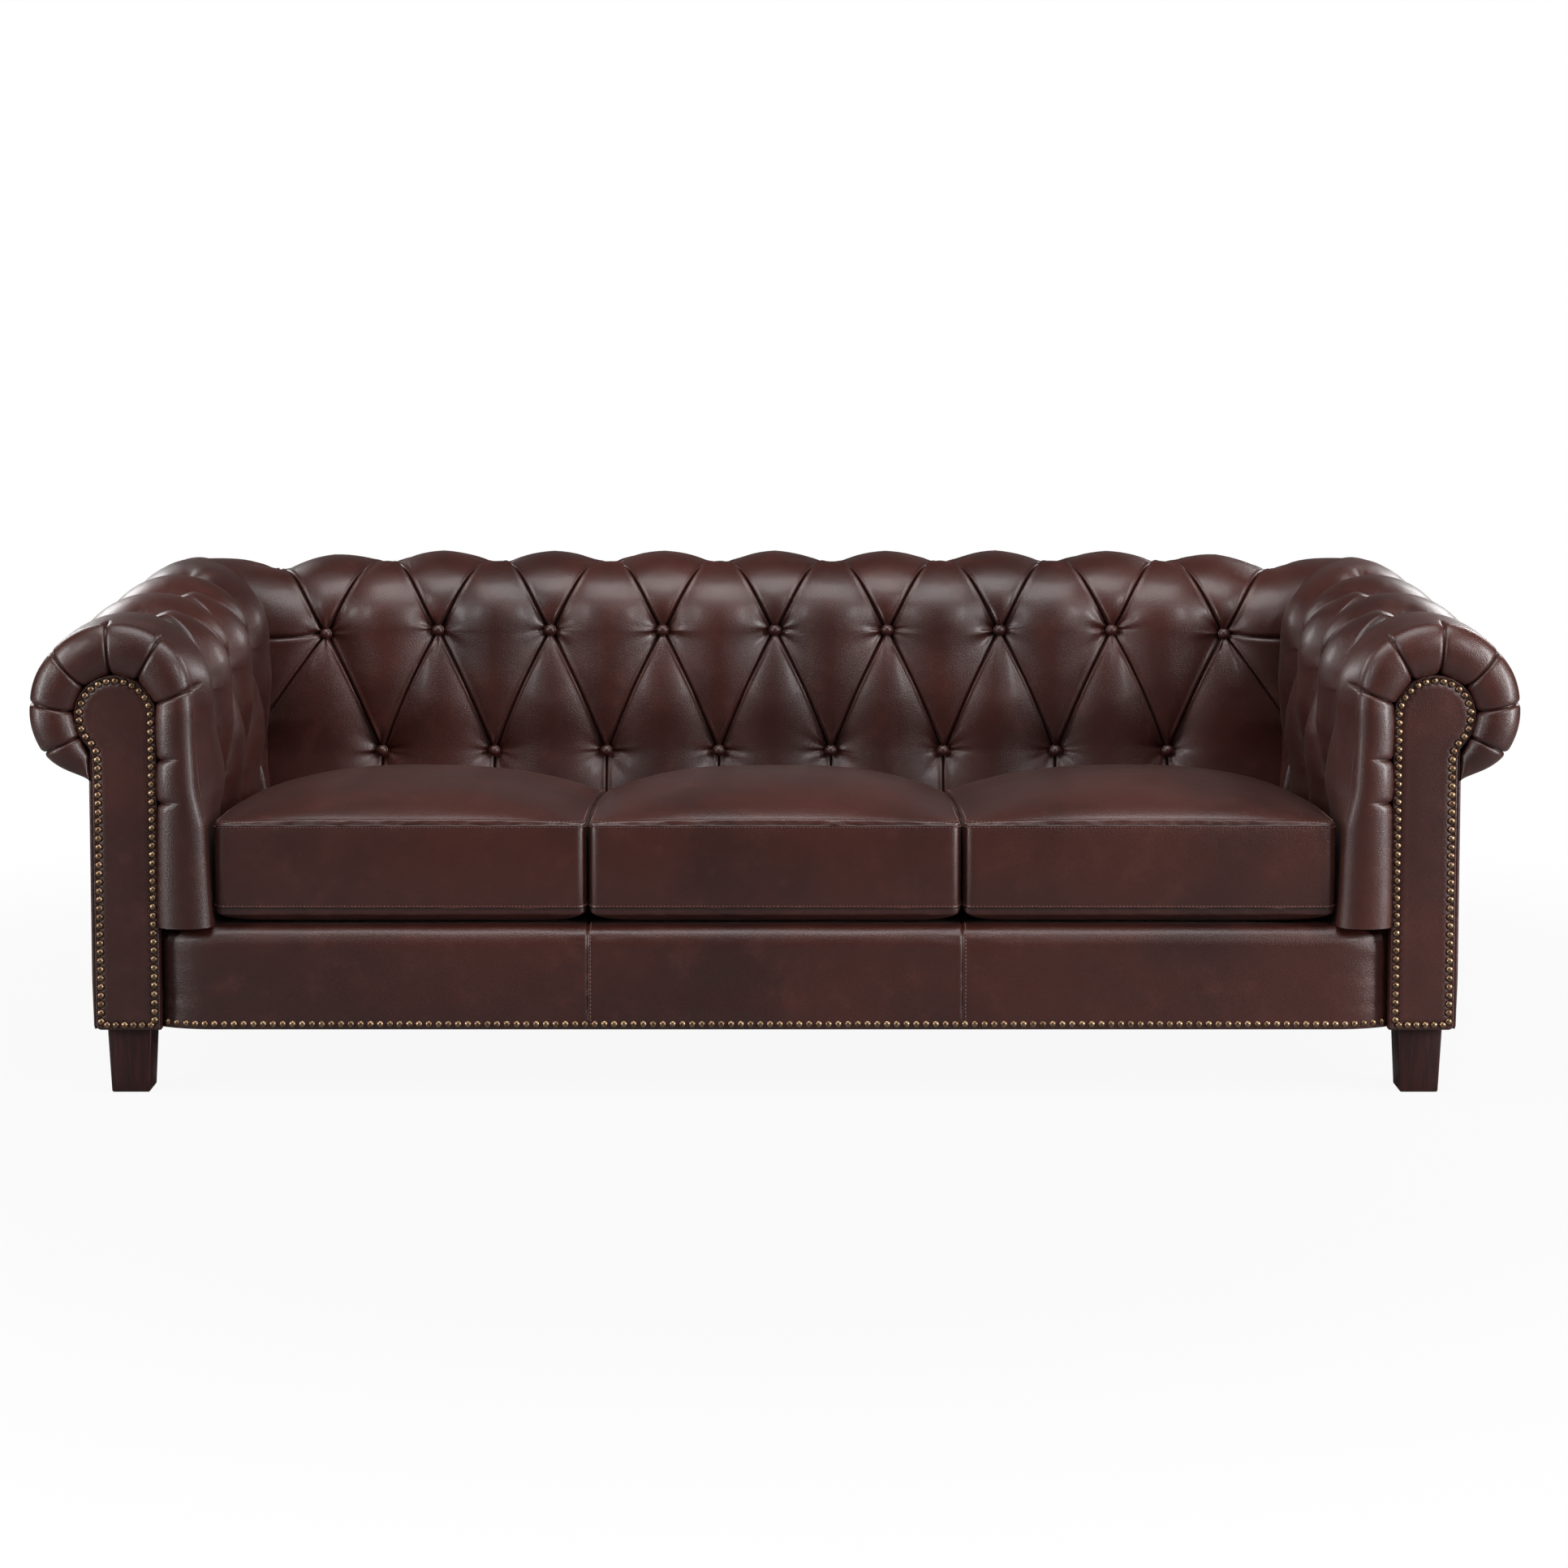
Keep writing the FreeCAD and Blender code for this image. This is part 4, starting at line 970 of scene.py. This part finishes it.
# Arm fronts: a thin padded leather facing on each keyhole-shaped board, held by a row of nails
# just inside its edge. The leather is drawn into small puckers round each nail.
bulb_radius, bulb_z = 0.063, 0.589
post_width, neck_radius, toe_radius = 0.0985, 0.030, 0.008
facing_bottom = 0.102
facing_back, facing_front = -0.455, -0.463
nail_inset = 0.008
nail_pitch = 0.0136


def keyhole(inset, spacing):
    """Places round the keyhole outline, drawn in by an inset, from its outer foot."""
    radius = bulb_radius - inset
    right, left = -arm_x + radius, -arm_x + bulb_radius - post_width + inset
    bottom = facing_bottom + inset
    bend = neck_radius + inset
    toe = max(0.002, toe_radius - inset)
    neck_x = left - bend
    drop = math.sqrt((radius + bend) ** 2 - (-arm_x - neck_x) ** 2)
    neck_z = bulb_z - drop
    joint = math.atan2(-drop, neck_x + arm_x)
    back_joint = math.atan2(drop, -arm_x - neck_x)
    line = [Vector((left + toe + (right - left - toe) * n / spacing[0], bottom))
            for n in range(spacing[0])]
    line += [Vector((right, bottom + (bulb_z - bottom) * n / spacing[1])) for n in range(spacing[1])]
    for n in range(spacing[2]):
        angle = (2 * math.pi + joint) * n / spacing[2]
        line.append(Vector((-arm_x + radius * math.cos(angle), bulb_z + radius * math.sin(angle))))
    for n in range(spacing[3]):
        angle = back_joint * (1 - n / spacing[3])
        line.append(Vector((neck_x + bend * math.cos(angle), neck_z + bend * math.sin(angle))))
    line += [Vector((left, neck_z + (bottom + toe - neck_z) * n / spacing[4]))
             for n in range(spacing[4])]
    for n in range(spacing[5] + 1):
        angle = math.pi / 2 * n / spacing[5]
        line.append(Vector((left + toe - toe * math.cos(angle), bottom + toe - toe * math.sin(angle))))
    return line


keyhole_steps = (30, 170, 84, 14, 136, 5)
nail_line = keyhole(nail_inset, [n * 6 for n in keyhole_steps])
nail_marks, gone = [], nail_pitch / 2
length = sum((b - a).length for a, b in zip(nail_line, nail_line[1:]))
pitch = length / round(length / nail_pitch)
for a, b in zip(nail_line, nail_line[1:]):
    gone += (b - a).length
    if gone >= pitch:
        nail_marks.append(b)
        gone -= pitch

# Rings of the facing from its edge inwards: how far in each lies and how far it stands up.
facing_rings = [(-0.0006, -0.017), (-0.0006, 0.002), (0, 0.006), (0.0008, 0.0074),
                (0.0022, 0.0082), (0.0036, 0.0083), (0.0052, 0.0080), (0.0068, 0.0076),
                (0.0084, 0.0076), (0.0100, 0.0079), (0.0118, 0.0085), (0.0140, 0.0089),
                (0.0170, 0.0092), (0.0215, 0.0094), (0.028, 0.0096), (0.036, 0.0098),
                (0.0455, 0.0099)]
dent_depth, dent_start, dent_width = 0.0011, 0.004, 0.0032
pucker_height, pucker_at, pucker_width = 0.0005, 0.0095, 0.0022
ring_lines = [keyhole(inset, keyhole_steps) for inset, rise in facing_rings]


def facing_place(column, row):
    """Point of the left facing: domed, dented under each nail and puckered just inside it."""
    spot = ring_lines[row][column]
    inset, rise = facing_rings[row]
    dent, near = 0, 1
    if 0.002 < inset < 0.03:
        near = min((spot - mark).length for mark in nail_marks)
        dent = dent_depth
        if near > dent_start:
            dent *= bell(near - dent_start, dent_width)
        if inset > nail_inset:
            dent -= pucker_height * bell(near - pucker_at, pucker_width)
    soft = 0.0006 * noise.noise(Vector((spot.x * 12, spot.y * 12, 4.4)))
    soft *= smooth((inset - 0.01) / 0.02)
    shade = 0.8 * bell(max(0, near - 0.005), 0.0012) if near < 0.01 else 0
    return Vector((spot.x, facing_back - rise - soft + dent, spot.y)), shade


for side in sides:
    facing = sheet_grid(len(ring_lines[0]) - 1, len(facing_rings) - 1, facing_place)
    bmesh.ops.remove_doubles(facing, verts=facing.verts, dist=0.00002)
    open_ring = [e for e in facing.edges if e.is_boundary and e.verts[0].co.y < facing_front]
    bmesh.ops.edgeloop_fill(facing, edges=open_ring)
    nails = nail_group([(Vector((mark.x, facing_front + 0.0003, mark.y)), Vector((0, -1, 0)))
                        for mark in nail_marks])
    if side == "right":
        for shape in (facing, nails):
            bmesh.ops.scale(shape, verts=shape.verts, vec=(-1, 1, 1))
    bmesh.ops.recalc_face_normals(facing, faces=facing.faces)
    bmesh.ops.recalc_face_normals(nails, faces=nails.faces)
    front = piece(side + "_arm_front_leather", facing, leather)
    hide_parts(side + "_arm_facing")
    heads = piece(side + "_arm_nail_heads", nails, antique_brass)
    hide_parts(side + "_arm_nails")

# Outside panels: leather over thin board on the outside of each arm and across the back. The arm
# panels wrap round the front post beside the facing; the back one has two seams.
panel_top = 0.569
panel_rows = stations(panel_top - facing_bottom - 0.0005, 44, [0, 0.0012, 0.003, 0.006, 0.012])
panel_cell = 0.009
turn_in, turn_in_width = 0.004, 0.006
panel_swell = 0.0016
panel_seam_dip, panel_seam_width = 0.0024, 0.004


def wrapped(points, radius):
    """A line in plan with its corners rounded, and the way each place faces."""
    found = []
    for n, (x, y) in enumerate(points):
        here = Vector((x, y))
        if 0 < n < len(points) - 1:
            into = (here - Vector(points[n - 1])).normalized()
            out = (Vector(points[n + 1]) - here).normalized()
            for step in range(6):
                share = step / 5
                bend = (1 - share) ** 2 * (here - into * radius) + 2 * share * (1 - share) * here
                found.append(bend + share ** 2 * (here + out * radius))
        else:
            found.append(here)
    line = [found[0]]
    for a, b in zip(found, found[1:]):
        steps = max(1, round((b - a).length / panel_cell))
        line += [a.lerp(b, n / steps) for n in range(1, steps + 1)]
    facing = []
    for n, place in enumerate(line):
        along = line[min(n + 1, len(line) - 1)] - line[max(n - 1, 0)]
        facing.append(Vector((along.y, -along.x)).normalized())
    return line, facing


def panel_sheet(points, radius, seams):
    """An upholstered panel that follows a line in plan, turned in at its foot and head."""
    line, facing = wrapped(points, radius)
    distance = [0]
    for a, b in zip(line, line[1:]):
        distance.append(distance[-1] + (b - a).length)

    def place(column, row):
        spot, away = line[column], facing[column]
        up = panel_rows[row]
        edge = min(up, panel_rows[-1] - up)
        seam = min([1] + [abs(spot.x - x) for x in seams])
        lift = 0.0011 * noise.noise(Vector((spot.x * 6, spot.y * 6, up * 6)))
        lift -= turn_in * (1 - rounded(edge / turn_in_width))
        lift += panel_swell * smooth(edge / 0.09) * smooth(distance[column] / 0.06)
        lift -= panel_seam_dip * bell(seam, panel_seam_width)
        shade = 0.8 * bell(seam, panel_seam_width / 2)
        z = facing_bottom + 0.0003 + up
        return Vector((spot.x + away.x * lift, spot.y + away.y * lift, z)), shade

    return sheet_grid(len(line) - 1, len(panel_rows) - 1, place)


post_side = -arm_x + bulb_radius - post_width
# The arm panel in plan: in behind the facing, round the post, back along the arm and in again.
arm_line = [(post_side - 0.0006, facing_back + 0.004), (post_side - 0.0006, facing_back - 0.002),
            (post_side - 0.0042, facing_back - 0.002), (-1.0535, -0.40), (-1.0530, 0.4235),
            (-1.042, 0.4235)]
arm_line_round, back_line_round = 0.0016, 0.001
for side in sides:
    panel = panel_sheet(arm_line[::-1], arm_line_round, [])
    if side == "right":
        bmesh.ops.scale(panel, verts=panel.verts, vec=(-1, 1, 1))
    bmesh.ops.recalc_face_normals(panel, faces=panel.faces)
    cover = piece(side + "_outside_arm_leather", panel, leather)
    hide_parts(side + "_outside_arm_panel")

back_seams = (-0.3467, 0.3467)
back_half, back_inside, back_outside = 1.0405, 0.4195, 0.4225
back_line = [(back_half, back_inside), (back_half, back_outside), (-back_half, back_outside),
             (-back_half, back_inside)]
panel = panel_sheet(back_line, back_line_round, back_seams)
cover = piece("outside_back_leather", panel, leather)
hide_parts("outside_back_panel")
seam_foot, seam_length, seam_steps = facing_bottom + 0.008, 0.45, 600
group = bmesh.new()
for x in back_seams:
    for beside in (-0.005, 0.005):
        line = [Vector((x + beside, back_outside + 0.0007, seam_foot + seam_length * n / seam_steps))
                for n in range(seam_steps)]
        stitch_row(group, line, lambda place: Vector((0, 1, 0)))
piece("back_seam_stitches", group, thread)

# Dust cover: thin black non-woven cloth, cut with a notch round each foot and stapled to the
# undersides of the rails. It hangs down a few millimetres between them.
dust_low, dust_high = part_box("bottom_dust_cover")
dust_cut = dust_high - dust_low
dust_columns, dust_lines, notch = 101, 41, 3
dust_sag, dust_sag_run, dust_slack = 0.004, 0.2, 0.0005


def dust_place(column, row):
    """Point of the dust cloth, which sags between the rails; it has no folds."""
    x, y = dust_cut.x * column / dust_columns, dust_cut.y * row / dust_lines
    edge = min(x, dust_cut.x - x, y, dust_cut.y - y)
    slack = dust_slack * noise.noise(Vector((x * 14, y * 14, 6.1)))
    z = dust_high.z - 0.0006 - dust_sag * smooth(edge / dust_sag_run) + slack
    return Vector((dust_low.x + x, dust_low.y + y, z)), 0


dust_sheet = sheet_grid(dust_columns, dust_lines, dust_place)
corner_x = dust_cut.x * (0.5 - notch / dust_columns)
corner_y = dust_cut.y * (0.5 - notch / dust_lines)
dust_middle = (dust_low + dust_high) / 2
cut_out = [face for face in dust_sheet.faces
           if abs(face.calc_center_median().x - dust_middle.x) > corner_x
           and abs(face.calc_center_median().y - dust_middle.y) > corner_y]
bmesh.ops.delete(dust_sheet, geom=cut_out, context="FACES")
bmesh.ops.reverse_faces(dust_sheet, faces=dust_sheet.faces)
dust_cloth = cloth_finish("dust_cloth", paint(38, 37, 37), paint(20, 20, 20), 0.003, 0.0004)
dust_cover = piece("dust_cloth_sheet", dust_sheet, dust_cloth)
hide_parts("bottom_dust_cover")

# Seat cushions: three loose leather cushions with crowned tops, boxed sides and zips at the back.
# Each blank has its seams sewn in, a cloth simulation fills it, and its stitches are added last.
cushion_gap = 0.003
cushion_width = 0.57433
cushion_front, cushion_back = -0.455, 0.186
seam_low, seam_high, underside = 0.289, 0.421, 0.2655
cushion_play = 0.001
cushion_crown, crown_curve = 0.054, 2.6
cushion_fall = 0.044
side_swell = 0.0045
corner_front, corner_back = 0.017, 0.034
under_round_x, under_round_y = 0.085, 0.045
seam_close = [0, 0.0012, 0.0026, 0.0046, 0.0075, 0.012, 0.018, 0.026]
across = stations(cushion_width - cushion_play, 72, seam_close)
deep = stations(cushion_back - cushion_front, 80, seam_close)
high = stations(seam_high - seam_low, 22, seam_close[:7])


def ridge(near):
    """Height of a sewn edge: a groove on the seam, a lip beside it and a dip under the stitches."""
    groove = 0.0026 * bell(near, 0.001)
    lip = 0.0016 * bell(near - 0.0026, 0.0013)
    dip = 0.0006 * bell(near - 0.0048, 0.001)
    return lip - groove - dip


def plan(x, y):
    """A place in plan with the cushion's corners rounded; x is from its middle, y from its front."""
    half, depth = (cushion_width - cushion_play) / 2, cushion_back - cushion_front
    radius = corner_front if y < depth / 2 else corner_back
    a = (abs(x) - half + radius) / radius
    b = (radius - y) / radius if y < depth / 2 else (y - depth + radius) / radius
    if a <= 0 or b <= 0:
        return x, y
    a, b = a * math.sqrt(1 - b * b / 2), b * math.sqrt(1 - a * a / 2)
    y = radius - b * radius if y < depth / 2 else depth - radius + b * radius
    return math.copysign(half - radius + a * radius, x), y


def cushion_place(column, row, layer):
    """A place on the cushion's cover before it is filled, and its nearness to a seam."""
    x, y = across[column] - across[-1] / 2, deep[row]
    edge = min(across[column], across[-1] - across[column], y, deep[-1] - y)
    side_x, side_y = plan(x, y)
    fall = cushion_fall * (y / deep[-1]) ** 2
    if layer == len(high) - 1:
        wide, long = abs(2 * x / across[-1]), abs(2 * y / deep[-1] - 1)
        rise = (1 - wide ** crown_curve) ** 0.8 * (1 - long ** crown_curve) ** 0.6
        z = seam_high + cushion_crown * max(0, rise) + ridge(edge) - fall
        return Vector((side_x, cushion_front + side_y, z)), edge
    if layer == 0:
        edge_x = min(across[column], across[-1] - across[column])
        edge_y = min(y, deep[-1] - y)
        share = min(rounded(edge_x / under_round_x), rounded(edge_y / under_round_y))
        z = seam_low - (seam_low - underside) * share - ridge(edge)
        return Vector((side_x, cushion_front + side_y, z)), edge
    z = high[layer]
    near = min(z, high[-1] - z)
    swell = side_swell * math.sin(math.pi * z / high[-1]) ** 0.7 + ridge(near)
    push_y = -swell if row == 0 else swell * 0.4 if row == len(deep) - 1 else 0
    push_x = -0.0004 + 0.0009 * swell / side_swell
    corner_share = smooth(abs(side_y - y) / 0.006) if row in (0, len(deep) - 1) else 1
    side_x += math.copysign(push_x, x) if column in (0, len(across) - 1) else 0
    side_y += push_y * (1 - 0.3 * corner_share)
    z -= fall * z / high[-1]
    return Vector((side_x, cushion_front + side_y, seam_low + z)), near


cushion_middles = {"left": -cushion_width - cushion_gap, "middle": 0,
                   "right": cushion_width + cushion_gap}
filling_steps, most_filled = 20, 0.022
cushions = {}
for name, middle in cushion_middles.items():
    blank = block_of_cells((len(across) - 1, len(deep) - 1, len(high) - 1), cushion_place)
    bmesh.ops.translate(blank, verts=blank.verts, vec=(middle, 0, 0))
    seed = middle * 13
    for vert in blank.verts:
        uneven_top = 0.002 * noise.noise(vert.co * 6 + Vector((0, 0, seed)))
        vert.co.z += uneven_top * smooth((vert.co.z - seam_high) / 0.02)
    cushion = piece(name + "_cushion_leather", blank, leather, name + "_cushion")
    pinned = cushion.vertex_groups.new(name="pinned")
    near = cushion.data.attributes["near_seam"].data
    for vert in cushion.data.vertices:
        pinned.add([vert.index], 1 - smooth((near[vert.index].value - 0.008) / 0.11), "REPLACE")
    cushions[name] = cushion

for cushion in cushions.values():
    cloth = cushion.modifiers.new("fill", "CLOTH")
    cloth.settings.quality = 4
    cloth.settings.mass = 0.4
    cloth.settings.tension_stiffness = cloth.settings.compression_stiffness = 20
    cloth.settings.shear_stiffness = 8
    cloth.settings.bending_stiffness = 1.5
    cloth.settings.use_pressure = True
    cloth.settings.uniform_pressure_force = 4
    cloth.settings.shrink_min = -0.012
    cloth.settings.vertex_group_mass = "pinned"
    cloth.settings.effector_weights.gravity = 0
    cloth.point_cache.frame_end = filling_steps
for step in range(1, filling_steps + 1):
    bpy.context.scene.frame_set(step)
shaped = bpy.context.evaluated_depsgraph_get()
filled = {name: [v.co.copy() for v in cushion.evaluated_get(shaped).data.vertices]
          for name, cushion in cushions.items()}
for name, cushion in cushions.items():
    middle = cushion_middles[name]
    half = cushion_width / 2 - cushion_play / 2
    for vert, place in zip(cushion.data.vertices, filled[name]):
        moved = place - vert.co
        moved = moved * min(1, most_filled / max(moved.length, 1e-6))
        place = vert.co + moved
        place.x = min(middle + half, max(middle - half, place.x))
        place.z = max(underside - 0.0005, place.z)
        vert.co = place
    cushion.modifiers.remove(cushion.modifiers["fill"])
bpy.context.scene.frame_set(1)

# Height of each row of stitches, and how far it lies outside the seam's line.
stitch_rows = ((seam_high + 0.0034, -0.0046), (seam_high - 0.0048, 0.0006),
               (seam_low + 0.0048, 0.0006))
stitch_step = 0.0011
for name, cushion in cushions.items():
    rounding = cushion.modifiers.new("rounding", "SUBSURF")
    rounding.levels = rounding.render_levels = 1
    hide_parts(name + "_cushion_cover", name + "_cushion_foam")
    group = bmesh.new()
    middle = cushion_middles[name]
    half_wide, half_deep = across[-1] / 2, deep[-1] / 2
    ring = [(x - half_wide, 0) for x in across] + [(half_wide, y) for y in deep]
    ring += [(half_wide - x, deep[-1]) for x in across] + [(-half_wide, deep[-1] - y) for y in deep]
    for z, outwards in stitch_rows:
        line = []
        for (x0, y0), (x1, y1) in zip(ring, ring[1:]):
            steps = max(1, round(math.hypot(x1 - x0, y1 - y0) / stitch_step))
            for n in range(steps):
                x, y = plan(x0 + (x1 - x0) * n / steps, y0 + (y1 - y0) * n / steps)
                grow = Vector((x / half_wide, (y - half_deep) / half_deep))
                grow = Vector((grow.x ** 9, grow.y ** 9)).normalized() * outwards
                fall = cushion_fall * (y / deep[-1]) ** 2 if z > seam_low + 0.02 else 0
                line.append(Vector((middle + x + grow.x, cushion_front + y + grow.y, z - fall)))
        centre = Vector((middle, (cushion_front + cushion_back) / 2, seam_low))
        stitch_row(group, line, lambda place: (place - centre).normalized())
    piece(name + "_cushion_stitches", group, thread, name + "_cushion")

dress([name + "_cushion_zip" for name in cushion_middles], antique_brass)

visual_low, visual_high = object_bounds()
size = {"cad": [list(cad_low), list(cad_high)], "visual": [list(visual_low), list(visual_high)]}
